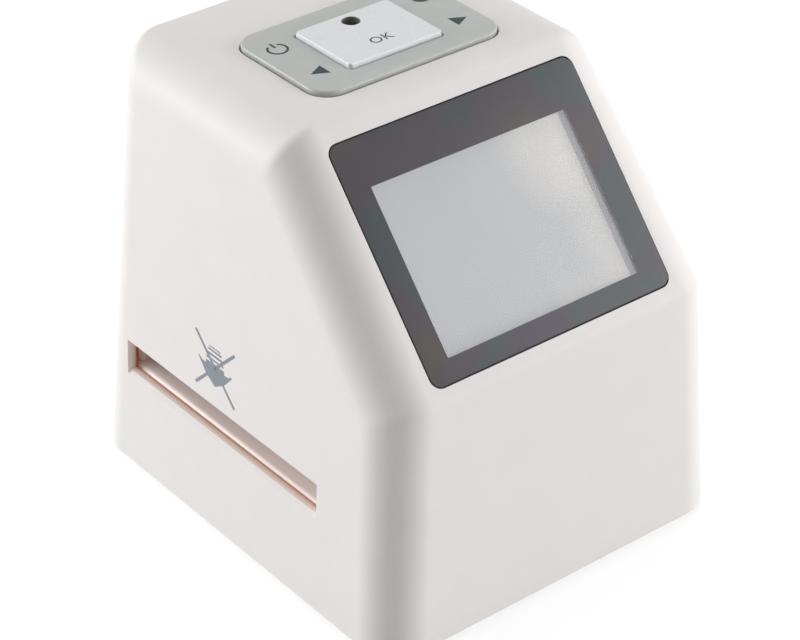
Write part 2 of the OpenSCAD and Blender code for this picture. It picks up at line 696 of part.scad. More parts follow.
// ---------------------------------------------------------------- light box

module light_box() color("#f1f0ee") raise() translate([0, slot_y, 0]) difference() {
    slab(box_w, box_d, 2, box_z, box_top);
    slab(box_w - 2 * box_wall - 2, box_d - 2 * box_wall - 2, 1, box_z + box_floor, box_top + 1);
    slab(box_w - 2 * box_wall, box_d - 2 * box_wall, 1, box_top - diff_t, box_top + 1);
    // Gap for the lead of the light board.
    translate([-4, box_d / 2 - 4, box_z + 2]) cube([8, 8, 3]);
}

module diffuser() color("#f7f7f4") raise() translate([0, slot_y, 0])
    slab(box_w - 2 * box_wall - 0.3, box_d - 2 * box_wall - 0.3, 0.8, box_top - diff_t, box_top);

module led_board() color("#2f6a46") raise() translate([0, slot_y, 0])
    slab(box_w - 2 * box_wall - 2.6, box_d - 2 * box_wall - 2.6, 0.8,
         box_z + box_floor, box_z + box_floor + led_board_t);

module scan_leds() color("#f3e9a8") raise() translate([0, slot_y, box_z + box_floor + led_board_t])
    for (x = [-1, 0, 1], y = [-1, 1]) translate([x * gate_w / 3 - 1.75, y * gate_d / 4 - 1.4, 0])
        cube([3.5, 2.8, 1.4]);

// ---------------------------------------------------------------- optics

// Tower: a tapering hood from the picture opening to the lens collar.
hood_wall = 1.7;
module optic_tower() color("#2c2b2d") raise() translate([0, slot_y, 0]) difference() {
    union() {
        slab(tower_w + 11, tower_d + 11, 3, tower_z, tower_z + tower_flange);
        hull() {
            slab(tower_w, tower_d, 3, tower_z, tower_z + tower_flange);
            slab(neck_w, neck_w, 3, neck_z - 1, neck_z);
        }
        translate([0, 0, neck_z - 1]) cylinder(r = collar_r, h = collar_top - neck_z + 1);
    }
    hull() {
        slab(tower_w - 2 * hood_wall, tower_d - 2 * hood_wall, 2, tower_z - 1, tower_z);
        slab(neck_w - 2 * hood_wall, neck_w - 2 * hood_wall, 2, neck_z - 3, neck_z - 2);
    }
    translate([0, 0, neck_z - 4]) cylinder(r = barrel_r + 0.05, h = collar_top - neck_z + 5);
    at_corners(tower_screw[0], tower_screw[1])
        translate([0, 0, tower_z - 1]) cylinder(r = screw_pass_r, h = tower_flange + 2);
}

module tower_screws() color("#8d8f92") raise() translate([0, slot_y, tower_z + tower_flange])
    at_corners(tower_screw[0], tower_screw[1]) mirror([0, 0, 1])
        small_screw(tower_flange, guide_t - 0.4);

// Lens barrel: turned, with a flange on the collar and a stepped bore.
barrel_sink = 5;                            // barrel below the neck's end
barrel_wall = 4;                            // barrel's wall at the aperture
barrel_z0 = neck_z - barrel_sink;
barrel_top = collar_top + 1.6;
aperture_r = barrel_r - barrel_wall;
module lens_barrel() color("#1d1d1f") raise() translate([0, slot_y, 0]) rotate_extrude()
    polygon([[aperture_r, barrel_z0 + 1.2], [barrel_r - 1.6, barrel_z0], [barrel_r, barrel_z0],
             [barrel_r, collar_top], [barrel_r + 2, collar_top], [barrel_r + 2, barrel_top],
             [aperture_r + 1.6, barrel_top], [aperture_r + 1.6, collar_top - 3],
             [aperture_r, collar_top - 5]]);

module sensor_mount() color("#2c2b2d") raise() translate([0, slot_y, 0]) difference() {
    slab(mount_w, mount_w, 2, neck_z, sensor_z);
    translate([0, 0, neck_z - 1]) cylinder(r = collar_r + 0.1, h = collar_top - neck_z + 3);
    slab(mount_w - 8, mount_w - 8, 1, collar_top + 1.9, sensor_z + 2);
    for (s = [-1, 1]) translate([s * mount_screw, 0, collar_top + 2])
        cylinder(r = screw_hole_r, h = sensor_z - collar_top);
}

module sensor_board() color("#2f6a46") raise() translate([0, slot_y, 0]) difference() {
    slab(mount_w + 4, mount_w + 2, 1.5, sensor_z, sensor_z + board_t);
    for (s = [-1, 1]) translate([s * mount_screw, 0, sensor_z - 1])
        cylinder(r = screw_hole_r, h = board_t + 2);
}

module image_sensor() color("#4f5b56") raise() translate([0, slot_y, 0])
    slab(sensor_w, sensor_w - 1, 0.4, sensor_z - sensor_t, sensor_z);

// ---------------------------------------------------------------- boards

module main_board() color("#2f6a46") raise() difference() {
    translate([0, (main_board_y0 + main_board_y1) / 2, 0])
        slab(main_board_w, main_board_y1 - main_board_y0, 2, main_board_z, main_board_top);
    for (s = [-1, 1], y = [stand_y0, stand_y1])
        translate([s * stand_x, y, main_board_z - 1]) cylinder(r = screw_pass_r, h = 4);
}

module main_board_screws() color("#8d8f92") raise()
    for (s = [-1, 1], y = [stand_y0, stand_y1])
        translate([s * stand_x, y, main_board_top]) mirror([0, 0, 1]) small_screw(board_t);

socket_face = back_y(main_board_top) - 1.1;
inner_face = back_y(main_board_top + av_h) - wall - 0.2;
module usb_socket() color("#b9bbbd") raise() translate([-usb_left, socket_face, main_board_top])
    rotate([90, 0, 0]) difference() {
        linear_extrude(9.2) usb_outline(0);
        translate([0, 0, -1]) linear_extrude(8.2) usb_outline(0.45);
        translate([0, 0, 8]) linear_extrude(3) translate([-1.5, 0.9]) square([3, 0.6]);
    }
// Outline of a mini socket: flat top, sides that draw in towards the board.
module usb_outline(i)
    polygon([[-usb_w / 2 + 1 + i, i], [usb_w / 2 - 1 - i, i], [usb_w / 2 - i, 1.3 + i / 2],
             [usb_w / 2 - i, usb_h - i], [-usb_w / 2 + i, usb_h - i], [-usb_w / 2 + i, 1.3 + i / 2]]);

module av_jack() color("#262628") raise() translate([-av_left, socket_face, main_board_top])
    difference() {
        union() {
            translate([-av_w / 2, -av_depth, 0])
                cube([av_w, av_depth - socket_face + inner_face, av_h]);
            translate([0, inner_face - socket_face - 1, av_h / 2]) rotate([-90, 0, 0])
                cylinder(d = av_bore_d + 1.8, h = socket_face - inner_face + 1);
        }
        translate([0, 1 - av_depth, av_h / 2]) rotate([-90, 0, 0]) cylinder(d = av_bore_d, h = av_depth);
    }

module card_socket() color("#c3c5c6") raise()
    translate([card_right - card_w / 2, inner_face - card_depth, main_board_top]) difference() {
        cube([card_w, card_depth, card_h + 0.3]);
        translate([(card_w - card_slot_w) / 2, 3, 0.3]) cube([card_slot_w, card_depth, card_slot_h]);
        translate([card_w / 2 - 8, -1, 1.5]) cube([16, card_depth / 2, 5]);
    }

module processor() color("#232325") raise()
    translate([-12 - processor_w / 2, main_board_y0 + 9, main_board_top])
        cube([processor_w, processor_w, 1.3]);

main_housing();
rear_cover();
base_plate();
foot_front_left();
foot_front_right();
foot_rear_left();
foot_rear_right();
base_screws();
display_lens();
lens_tape();
lcd_panel();
backlight_tray();
display_board();
display_screws();
key_plate();
power_plunger();
left_plunger();
right_plunger();
mode_plunger();
key_mat();
ok_button();
ok_plunger();
key_board();
key_board_screws();
power_switch();
left_switch();
right_switch();
mode_switch();
ok_switch();
status_led();
film_guide_lower();
film_guide_upper();
guide_screws();
diffuser();
light_box();
led_board();
scan_leds();
optic_tower();
tower_screws();
lens_barrel();
sensor_mount();
sensor_board();
image_sensor();
main_board();
main_board_screws();
usb_socket();
av_jack();
card_socket();
processor();
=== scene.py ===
import bpy
import numpy as np
from mathutils import Matrix, Vector


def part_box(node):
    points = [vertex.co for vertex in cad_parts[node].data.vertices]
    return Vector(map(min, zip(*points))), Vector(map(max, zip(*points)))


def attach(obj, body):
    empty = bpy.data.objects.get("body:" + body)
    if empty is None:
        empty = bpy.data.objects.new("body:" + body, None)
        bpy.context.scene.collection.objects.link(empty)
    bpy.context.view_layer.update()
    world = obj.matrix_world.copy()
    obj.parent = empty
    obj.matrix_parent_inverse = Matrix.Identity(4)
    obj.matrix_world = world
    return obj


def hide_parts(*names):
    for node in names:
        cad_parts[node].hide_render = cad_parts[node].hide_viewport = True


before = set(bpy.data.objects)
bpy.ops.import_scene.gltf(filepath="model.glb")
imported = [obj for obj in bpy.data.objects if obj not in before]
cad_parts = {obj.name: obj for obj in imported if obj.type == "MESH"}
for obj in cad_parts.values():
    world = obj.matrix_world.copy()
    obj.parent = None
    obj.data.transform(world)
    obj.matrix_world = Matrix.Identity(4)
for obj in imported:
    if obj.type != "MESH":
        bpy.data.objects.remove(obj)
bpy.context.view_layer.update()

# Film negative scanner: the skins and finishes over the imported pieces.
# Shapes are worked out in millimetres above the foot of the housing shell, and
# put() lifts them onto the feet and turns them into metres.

MM = 0.001

# ------------------------------------------------------------------ sizes

shell_low, shell_high = (np.array(corner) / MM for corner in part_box("main_housing"))
BODY_W, BODY_D, BODY_H = shell_high - shell_low
FOOT_H = shell_low[2]

# Housing form. The sides and the front lean by a tangent, the back by an angle. CUT_PAST is how far a
# cutter starts outside the wall that it cuts, and JOIN how far a joined piece reaches into the other.
SLOPE = np.radians(49.2)
SIDE_LEAN = np.tan(np.radians(3.2))
FRONT_LEAN = np.tan(np.radians(2))
BACK_LEAN = np.radians(5)
EDGE_R = 10
CREASE_R, INNER_CREASE_R = 3, 0.3
WALL = 2.2
CUT_PAST = 8
JOIN = 0.5

# Film slot, through both side walls.
SLOT_Z = 23
SLOT_H = 7.8
SLOT_LEN = 68.1
SLOT_Y = 5.65
SLOT_BEVEL = 0.7

# Display: lens, window and throat, along the slope from the front crease. The edge of the lens and its
# seat are painted dark up to LIT_X, a painted shadow line round the lens, and keep the colours round them
# to the right of it.
LENS_W, LENS_H, LENS_R, LENS_T = 62.3, 51.4, 2.4, 1.0
LENS_X = 0.35
LENS_UP, LENS_DOWN = 3.1, 4.7
LENS_GAP = 0.2
LENS_SINK = 0.05
LENS_MID = LENS_UP + LENS_H / 2
LIT_X = LENS_X + LENS_W / 2 - 0.3
TAPE_T = 0.15
SEAT_DEPTH = LENS_SINK + LENS_T + TAPE_T
SEAT_MOUTH_R = 0.06
VIEW_W, VIEW_H, VIEW_R = 50, 36.4, 0.3
VIEW_UP = 4.8
VIEW_MID = LENS_UP + VIEW_UP + VIEW_H / 2
THROAT_W, THROAT_H, THROAT_R = VIEW_W + 2.2, VIEW_H + 2, 1
CLEAR_PAST = 0.4

# Display panel: its raised glass stands in the throat, and the picture area is a part of the glass.
PANEL_W, PANEL_H, PANEL_R = 57.6, 40.8, 0.5
PANEL_GAP, PANEL_T = 0.1, 1.4
GLASS_W, GLASS_H = THROAT_W - 0.16, THROAT_H - 0.16
GLASS_TOP = SEAT_DEPTH + 0.5
PICTURE_W, PICTURE_H, PICTURE_R = VIEW_W - 1.2, VIEW_H + 1.2, 0.1
PICTURE_X = -0.3

# Key plate.
KEY_W, KEY_D, KEY_R = 47.5, 30.8, 5
KEY_Y = 10
KEY_UP = 1.1
KEY_GAP = 0.3
KEY_MOUTH_R = 0.3
KEY_RIM = 0.55
KEY_WALL, DECK_T = 1.5, 1.6
KEY_TOP = BODY_H + KEY_UP
DECK_UNDER = KEY_TOP - DECK_T
FLANGE_OUT, FLANGE_T = 1.2, 1
FLANGE_TOP = BODY_H - WALL - 1.2
SWITCH_X, SWITCH_Y = 17.65, 7
POST_D = 3
POST_END = BODY_H - 4.8

# Middle button, and the films printed on the keys and the left wall.
OK_W, OK_D, OK_R = 24.1, 18.9, 1
OK_X, OK_Y = -0.6, KEY_Y - 0.5
OK_UP = 1
OK_GAP = 0.3
OK_LEAN = 0.2
OK_RIM = 0.3
OK_WALL, OK_ROOF, OK_HOLLOW_R = 1.3, 1.5, 0.6
OK_LIP_OUT, OK_LIP_R, OK_LIP_T = OK_GAP + 0.8, 1.2, 0.8
OK_LIP_TOP = DECK_UNDER - 0.9
OK_TOP = KEY_TOP + OK_UP
STEM_D = 4
LED_HOLE_D, LED_MOUTH_R = 4, 0.14
LED_X, LED_Y = OK_X, OK_Y + OK_D / 2 - 3.5
PRINT_T = 0.02
OK_FACE = OK_TOP - PRINT_T
OK_TEXT_SIZE, OK_TEXT_Y = 3.6, 5.3

# Rear cover.
COVER_W = BODY_W - 2 * EDGE_R - 9
COVER_LOW, COVER_HIGH = 5, (BODY_H - 13) / np.cos(BACK_LEAN)
COVER_R = 4
COVER_LAP = 2.4
COVER_SKIN = WALL / 2

# Edges between faces that meet at more than SHARP_ANGLE stay sharp. In the nodes that are carried over,
# points closer than WELD_GAP, in millimetres, are merged, and the edges of mouldings are rounded where
# their faces meet at more than ROUND_ANGLE.
SHARP_ANGLE = np.radians(32)
ROUND_ANGLE = np.radians(40)
WELD_GAP = 0.002

# Straight steps in an arc: of a rim and a mouth, and of the housing's long edges and its creases.
RIM_STEPS, MOUTH_STEPS = 5, 4
EDGE_STEPS, CREASE_STEPS = 24, 12


def front_y(z):
    """Front wall at a height: half the depth in front of the middle, less the lean times the height."""
    return -BODY_D / 2 + z * FRONT_LEAN


def back_y(z):
    """Back wall at a height: half the depth behind the middle, less its lean."""
    return BODY_D / 2 - z * np.tan(BACK_LEAN)


def side_x(z):
    """Right wall at a height: half the width from the middle, less its lean."""
    return BODY_W / 2 - z * SIDE_LEAN


SLOPE_LEN = LENS_UP + LENS_H + LENS_DOWN
CREASE_H = BODY_H - SLOPE_LEN * np.sin(SLOPE)
CREASE_Y = front_y(CREASE_H)
TOP_Y = CREASE_Y + SLOPE_LEN * np.cos(SLOPE)


# ------------------------------------------------------------------ mesh tools

def put(points):
    """Millimetres above the shell's foot, to metres on the surface that the feet stand on."""
    return (np.asarray(points, float).reshape(-1, 3) + [0, 0, FOOT_H]) * MM


def on_slope(points):
    """From the slope's frame: x to the right, y up the slope from the front crease and z out of it,
    turned about x by the angle of the slope."""
    x, y, z = np.moveaxis(np.asarray(points, float), -1, 0)
    return np.stack([x, CREASE_Y + y * np.cos(SLOPE) - z * np.sin(SLOPE),
                     CREASE_H + y * np.sin(SLOPE) + z * np.cos(SLOPE)], -1)


def on_back(points):
    """From the back's frame: x to the right, y up the leaning back wall and z into the housing."""
    x, y, z = np.moveaxis(np.asarray(points, float), -1, 0)
    return np.stack([x, BODY_D / 2 - z * np.cos(BACK_LEAN) - y * np.sin(BACK_LEAN),
                     y * np.cos(BACK_LEAN) - z * np.sin(BACK_LEAN)], -1)


def on_left(points):
    """From the left wall's frame: x towards the front, y up the leaning wall and z out of it."""
    x, y, z = np.moveaxis(np.asarray(points, float), -1, 0)
    lean = np.arctan(SIDE_LEAN)
    return np.stack([-BODY_W / 2 + y * np.sin(lean) - z * np.cos(lean), -x,
                     y * np.cos(lean) + z * np.sin(lean)], -1)


def on_top(height):
    """A frame that is level at a height above the shell's foot."""
    def lift(points):
        """The points moved up by the height."""
        return np.asarray(points, float) + [0, 0, height]
    return lift


def solid(name, points, faces):
    """A mesh object from points in millimetres and faces that turn outwards."""
    mesh = bpy.data.meshes.new(name)
    mesh.from_pydata(put(points), [], [list(map(int, face)) for face in faces])
    mesh.update()
    piece = bpy.data.objects.new(name, mesh)
    bpy.context.scene.collection.objects.link(piece)
    return piece


def ring_faces(rings, count, first=0):
    """Quads between neighbouring closed rings of `count` points each."""
    index = first + np.arange(rings * count).reshape(rings, count)
    here, up = index[:-1], index[1:]
    return np.stack([here, np.roll(here, -1, 1), np.roll(up, -1, 1), up], -1).reshape(-1, 4)


def round_rect(width, depth, radius, grow=0.0, turns=10):
    """Outline of a rounded rectangle grown by `grow`, anticlockwise: each corner is a quarter turn of
    radius plus grow about its centre."""
    corner_r = max(radius + grow, 0.03)
    swing = np.linspace(0, np.pi / 2, turns + 1) + np.arange(4)[:, None] * np.pi / 2
    side = np.array([[1, 1], [-1, 1], [-1, -1], [1, -1]])
    centre = side * [width / 2 + grow - corner_r, depth / 2 + grow - corner_r]
    arc = np.stack([np.cos(swing), np.sin(swing)], -1) * corner_r
    return (centre[:, None] + arc).reshape(-1, 2)


def closed_faces(rings, count, first=0):
    """Quads between the rings, then a face that closes the first ring and one that closes the last."""
    last = first + (rings - 1) * count
    foot, top = range(first + count - 1, first - 1, -1), range(last, last + count)
    return ring_faces(rings, count, first).tolist() + [list(foot), list(top)]


def level_ring(width, depth, radius, height, grow=0.0, centre=(0, 0), turns=10):
    """Points of a rounded rectangle at one height."""
    outline = round_rect(width, depth, radius, grow, turns) + centre
    return np.column_stack([outline, np.full(len(outline), height)])


def slab(name, width, depth, radius, steps, place, centre=(0, 0), turns=10):
    """A slab with moulded edges: its outline, grown by steps[k][0], is carried to height steps[k][1],
    and the first and last rings are closed with flat faces."""
    rings = [level_ring(width, depth, radius, height, grow, centre, turns) for grow, height in steps]
    return solid(name, place(np.concatenate(rings)), closed_faces(len(rings), len(rings[0])))


def rounded_rim(radius, height):
    """Steps of a quarter round at a rim: grow = r cos a - r, height = top - r + r sin a."""
    angle = np.linspace(0, np.pi / 2, RIM_STEPS + 1)
    return list(zip(radius * (np.cos(angle) - 1), height - radius + radius * np.sin(angle)))


def flared_mouth(radius, height):
    """Steps of a cutter that rounds the mouth of the opening it cuts: a quarter round that opens
    outwards, grow = r - r cos a, height = top - r + r sin a, then straight on."""
    angle = np.linspace(0, np.pi / 2, MOUTH_STEPS + 1)
    rim = list(zip(radius * (1 - np.cos(angle)), height - radius + radius * np.sin(angle)))
    return rim + [(radius, height + 3)]


def settle(piece):
    """Makes the result of the modifiers the piece's own mesh."""
    graph = bpy.context.evaluated_depsgraph_get()
    mesh = bpy.data.meshes.new_from_object(piece.evaluated_get(graph), depsgraph=graph)
    piece.modifiers.clear()
    piece.data = mesh
    mesh.name = piece.name


def carve(piece, cutters, way="DIFFERENCE"):
    """Cuts the cutters out of a piece, or joins them to it, one after the other, and removes them."""
    for cutter in cutters:
        step = piece.modifiers.new("carve", "BOOLEAN")
        step.object = cutter
        step.operation = way
        step.solver = "EXACT"
    settle(piece)
    for cutter in cutters:
        bpy.data.objects.remove(cutter)


def shade(piece):
    """Smooth shading that stops at sharp edges, with flat faces kept flat."""
    piece.data.shade_smooth()
    piece.data.set_sharp_from_angle(angle=SHARP_ANGLE)
    normals = piece.modifiers.new("even normals", "WEIGHTED_NORMAL")
    normals.keep_sharp = True
    normals.weight = 80


# ------------------------------------------------------------------ materials

def new_material(name):
    """A material, its node tree and its Principled shader."""
    material = bpy.data.materials.new(name)
    material.use_nodes = True
    shader = material.node_tree.nodes["Principled BSDF"]
    return material, material.node_tree, shader


def arithmetic(tree, operation, *values):
    """A Math node over outputs of other nodes and plain numbers."""
    node = tree.nodes.new("ShaderNodeMath")
    node.operation = operation
    for socket, value in zip(node.inputs, values):
        if isinstance(value, float):
            socket.default_value = value
        else:
            tree.links.new(value, socket)
    return node.outputs["Value"]


def object_axes(tree):
    """Outputs X, Y and Z of the Object coordinates, in metres."""
    place = tree.nodes.new("ShaderNodeTexCoord")
    axes = tree.nodes.new("ShaderNodeSeparateXYZ")
    tree.links.new(place.outputs["Object"], axes.inputs["Vector"])
    return axes.outputs


def noise(tree, size_mm, detail=2.0, stretch=(1, 1, 1), roughness=0.5):
    """Noise on Object coordinates whose features are about size_mm across."""
    place = tree.nodes.new("ShaderNodeTexCoord")
    turn = tree.nodes.new("ShaderNodeMapping")
    turn.inputs["Scale"].default_value = stretch
    field = tree.nodes.new("ShaderNodeTexNoise")
    field.inputs["Scale"].default_value = 1 / (size_mm * MM)
    field.inputs["Detail"].default_value = detail
    field.inputs["Roughness"].default_value = roughness
    tree.links.new(place.outputs["Object"], turn.inputs["Vector"])
    tree.links.new(turn.outputs["Vector"], field.inputs["Vector"])
    return field.outputs["Fac"]


def ramp(tree, value, stops):
    """Colour ramp over a value; stops are (place, colour)."""
    node = tree.nodes.new("ShaderNodeValToRGB")
    marks = node.color_ramp.elements
    while len(marks) < len(stops):
        marks.new(0.5)
    for mark, (place, colour) in zip(marks, stops):
        mark.position = place
        mark.color = (*colour, 1)
    tree.links.new(value, node.inputs["Fac"])
    return node.outputs["Color"]


def spread(tree, value, low, high, from_low=0.3, from_high=0.7):
    """Maps a value, such as a noise, onto the range from low to high."""
    node = tree.nodes.new("ShaderNodeMapRange")
    node.inputs["From Min"].default_value = from_low
    node.inputs["From Max"].default_value = from_high
    node.inputs["To Min"].default_value = low
    node.inputs["To Max"].default_value = high
    tree.links.new(value, node.inputs["Value"])
    return node.outputs["Result"]


def bump(tree, value, depth_mm, strength=1.0):
    """Normals of a surface that the value raises by up to depth_mm."""
    node = tree.nodes.new("ShaderNodeBump")
    node.inputs["Distance"].default_value = depth_mm * MM
    node.inputs["Strength"].default_value = strength
    tree.links.new(value, node.inputs["Height"])
    return node.outputs["Normal"]


def shades(colour, amount, tint=(1, 1, 1)):
    """A colour made a little darker and a little lighter, the lighter one tinted."""
    dark = tuple(c * (1 - amount) for c in colour)
    light = tuple(min(1, c * (1 + amount) * t) for c, t in zip(colour, tint))
    return dark, light


def moulded(name, colour, roughness, mottle=0.012, mottle_mm=9.0, grain_mm=0.22, grain_depth=0.006,
            specular=0.5, tint=(1, 1, 1), glow=None):
    """Moulded plastic: slow mottling of the colour, fine spark-eroded grain and a finish that varies.
    The glow is painted light: an emission that stands in for the light that comes through a thin wall from
    its other side."""
    material, tree, shader = new_material(name)
    dark, light = shades(colour, mottle, tint)
    slow = noise(tree, mottle_mm, 3.0)
    tree.links.new(ramp(tree, slow, [(0.3, dark), (0.7, light)]), shader.inputs["Base Color"])
    fine = noise(tree, grain_mm, 3.0, roughness=0.6)
    swing = 0.05
    tree.links.new(spread(tree, fine, roughness - swing, roughness + swing), shader.inputs["Roughness"])
    tree.links.new(bump(tree, fine, grain_depth), shader.inputs["Normal"])
    shader.inputs["Specular IOR Level"].default_value = specular
    if glow:
        shader.inputs["Emission Color"].default_value = (*glow, 1)
        shader.inputs["Emission Strength"].default_value = 1.0
    return material


def metal(name, colour, roughness):
    """Plated or tinned metal with a fine speckle in its finish."""
    material, tree, shader = new_material(name)
    dark, light = shades(colour, 0.06)
    speckle = noise(tree, 0.5, 4.0)
    swing = 0.08
    tree.links.new(ramp(tree, speckle, [(0.3, dark), (0.7, light)]), shader.inputs["Base Color"])
    tree.links.new(spread(tree, speckle, roughness - swing, roughness + swing), shader.inputs["Roughness"])
    shader.inputs["Metallic"].default_value = 1.0
    return material


def board_finish(name, colour):
    """Circuit board: solder mask over tracks that run along x and y, with a low sheen."""
    material, tree, shader = new_material(name)
    along = noise(tree, 1.4, 1.0, (1, 0.12, 1))
    across = noise(tree, 1.4, 1.0, (0.12, 1, 1))
    tracks = arithmetic(tree, "MAXIMUM", along, across)
    dark, light = shades(colour, 0.3)
    tree.links.new(ramp(tree, tracks, [(0.54, dark), (0.6, light)]), shader.inputs["Base Color"])
    tree.links.new(bump(tree, tracks, 0.03, 0.5), shader.inputs["Normal"])
    shader.inputs["Roughness"].default_value = 0.35
    return material


WARM_WHITE = (0.80, 0.772, 0.76)
housing_plastic = moulded("housing plastic", WARM_WHITE, 0.48, specular=0.25, tint=(1.0, 0.997, 0.994))
base_plastic = moulded("base plastic", (0.72, 0.70, 0.69), 0.5)
guide_plastic = moulded("guide plastic", (0.86, 0.775, 0.74), 0.4, grain_depth=0.002)
# Faces inside the housing: reddish-brown painted shade, with a faint painted glow.
inside_painted_shade_and_glow = moulded("plastic, inner side, painted shade and glow", (0.74, 0.40, 0.28), 0.6, glow=(0.085, 0.03, 0.016))
# The slot's bevel: the housing plastic painted darker, as painted shade.
bevel_painted_shade = moulded("plastic, slot bevel, painted shade", (0.70, 0.66, 0.64), 0.5)
inner_plastic = moulded("inner white plastic", (0.80, 0.785, 0.77), 0.45)
black_plastic = moulded("black plastic", (0.03, 0.03, 0.032), 0.5, mottle=0.1)
key_paint = moulded("key paint", (0.46, 0.475, 0.46), 0.36, mottle=0.02, mottle_mm=4, grain_mm=0.1,
                    grain_depth=0.002, tint=(1.0, 1.01, 1.0))
ok_plastic = moulded("button plastic", (0.745, 0.76, 0.775), 0.3, mottle=0.008, grain_depth=0.001)
silicone = moulded("silicone", (0.55, 0.54, 0.51), 0.6)
rubber = moulded("foot rubber", (0.045, 0.045, 0.045), 0.75, mottle=0.15, grain_depth=0.02)
tape_black = moulded("foam tape", (0.03, 0.03, 0.03), 0.8, grain_depth=0.02)
chip_black = moulded("chip resin", (0.03, 0.03, 0.034), 0.55)
# Button plastic painted dark deep in the bore over the light: painted shade.
bore_painted_shade = moulded("light bore, painted shade", (0.26, 0.26, 0.20), 0.3)
# Dark paint on the lens's edge and its seat: a painted shadow line round the lens.
lens_edge_painted_shadow = moulded("lens edge, painted shadow", (0.035, 0.035, 0.035), 0.6, specular=0.15)
opal = moulded("opal diffuser", (0.88, 0.88, 0.85), 0.35, grain_depth=0.003)
print_slate = moulded("slate print", (0.028, 0.045, 0.058), 0.5, mottle=0.05, mottle_mm=1, specular=0.2)
print_grey = moulded("grey print", (0.22, 0.245, 0.28), 0.5, mottle=0.05, mottle_mm=1)
tinned = metal("tinned steel", (0.62, 0.63, 0.64), 0.32)
zinc = metal("zinc screws", (0.52, 0.52, 0.54), 0.35)
board_green = board_finish("board green", (0.03, 0.14, 0.07))


def led_finish():
    """Clear epoxy dome: a dark base, painted shade for the dark seen through the dome, under a glossy coat.
    """
    material, tree, shader = new_material("clear dome")
    shader.inputs["Roughness"].default_value = 0.06
    shader.inputs["Coat Weight"].default_value = 0.6
    depth = noise(tree, 1.2, 1.0)
    tree.links.new(ramp(tree, depth, [(0.3, (0.03, 0.03, 0.03)), (0.7, (0.16, 0.17, 0.13))]),
                   shader.inputs["Base Color"])
    return material


def border_finish():
    """Printed border behind hard-coated acrylic: dark grey whose hue drifts, under a smooth gloss."""
    material, tree, shader = new_material("printed border")
    drift = noise(tree, 26, 1.0)
    tree.links.new(ramp(tree, drift, [(0.34, (0.046, 0.034, 0.056)), (0.44, (0.034, 0.048, 0.052)),
                                      (0.54, (0.050, 0.038, 0.054)), (0.66, (0.060, 0.050, 0.041))]),
                   shader.inputs["Base Color"])
    haze = noise(tree, 0.3, 2.0)
    tree.links.new(spread(tree, haze, 0.2, 0.26), shader.inputs["Roughness"])
    shader.inputs["Specular IOR Level"].default_value = 0.36
    shader.inputs["Coat Weight"].default_value = 0.15
    shader.inputs["Coat Roughness"].default_value = 0.12
    return material


def window_finish():
    """Clear window of the lens: see-through, with a thin gloss."""
    material, tree, shader = new_material("clear window")
    haze = noise(tree, 0.4, 2.0)
    tree.links.new(spread(tree, haze, 0.08, 0.14), shader.inputs["Roughness"])
    tree.links.new(ramp(tree, haze, [(0.3, (0.5, 0.5, 0.52)), (0.7, (0.53, 0.53, 0.55))]),
                   shader.inputs["Base Color"])
    shader.inputs["Alpha"].default_value = 0.08
    return material


def glass_painted_light_finish(name, stops, size_mm):
    """Unlit display glass: grey with painted light that lightens it from left to right, with a hue that
    drifts slowly.
    """
    material, tree, shader = new_material(name)
    half = VIEW_W / 2 * MM
    # Painted light: lighter from left to right across the window.
    painted_light_rightwards = spread(tree, object_axes(tree)["X"], 0.1, 0.9, -half, half)
    drift = spread(tree, noise(tree, size_mm, 1.0), -0.12, 0.12)
    tree.links.new(ramp(tree, arithmetic(tree, "ADD", painted_light_rightwards, drift), stops),
                   shader.inputs["Base Color"])
    fine = noise(tree, 0.15, 2.0)
    tree.links.new(spread(tree, fine, 0.3, 0.4), shader.inputs["Roughness"])
    return material


def slot_edge_shade_and_glow_finish():
    """Cut edge of the housing wall round the slot, with painted shade: the plastic is painted warmer and
    darker with the depth below the leaning side wall, depth = half width - z * lean - |x|, and has a
    painted glow, fainter with the depth, that stands in for the light that comes through the wall."""
    material, tree, shader = new_material("plastic, slot edge, painted shade and glow")
    axes = object_axes(tree)
    outwards = arithmetic(tree, "ABSOLUTE", axes["X"])
    upright = arithmetic(tree, "MULTIPLY_ADD", axes["Z"], SIDE_LEAN, outwards)
    wall = (BODY_W / 2 + FOOT_H * SIDE_LEAN) * MM
    depth = spread(tree, upright, 0, 1, wall, wall - WALL * MM)
    # Painted shade: warmer and darker deeper in the cut; below it, a painted glow that fades with the
    # depth.
    tree.links.new(ramp(tree, depth, [(0.0, (0.80, 0.74, 0.70)), (0.4, (0.84, 0.76, 0.73)),
                                      (1.0, (0.72, 0.44, 0.33))]), shader.inputs["Base Color"])
    tree.links.new(ramp(tree, depth, [(0.0, (0.17, 0.145, 0.12)), (0.3, (0.14, 0.115, 0.10)),
                                      (0.65, (0.12, 0.10, 0.09)), (1.0, (0.02, 0.005, 0.0))]),
                   shader.inputs["Emission Color"])
    shader.inputs["Emission Strength"].default_value = 1.0
    shader.inputs["Roughness"].default_value = 0.45
    return material


led_clear = led_finish()
slot_edge_shade_and_glow = slot_edge_shade_and_glow_finish()
border_dark = border_finish()
window_clear = window_finish()
# The display's face and edge carry painted light, lighter to the right.
display_pale = glass_painted_light_finish("display face, painted light", [(0.1, (0.52, 0.53, 0.55)), (0.35, (0.50, 0.53, 0.525)),
                                             (0.6, (0.53, 0.535, 0.55)), (0.92, (0.76, 0.74, 0.705))], 20)
display_edge = glass_painted_light_finish("display edge, painted light", [(0.1, (0.40, 0.385, 0.42)), (0.9, (0.46, 0.45, 0.475))], 8)

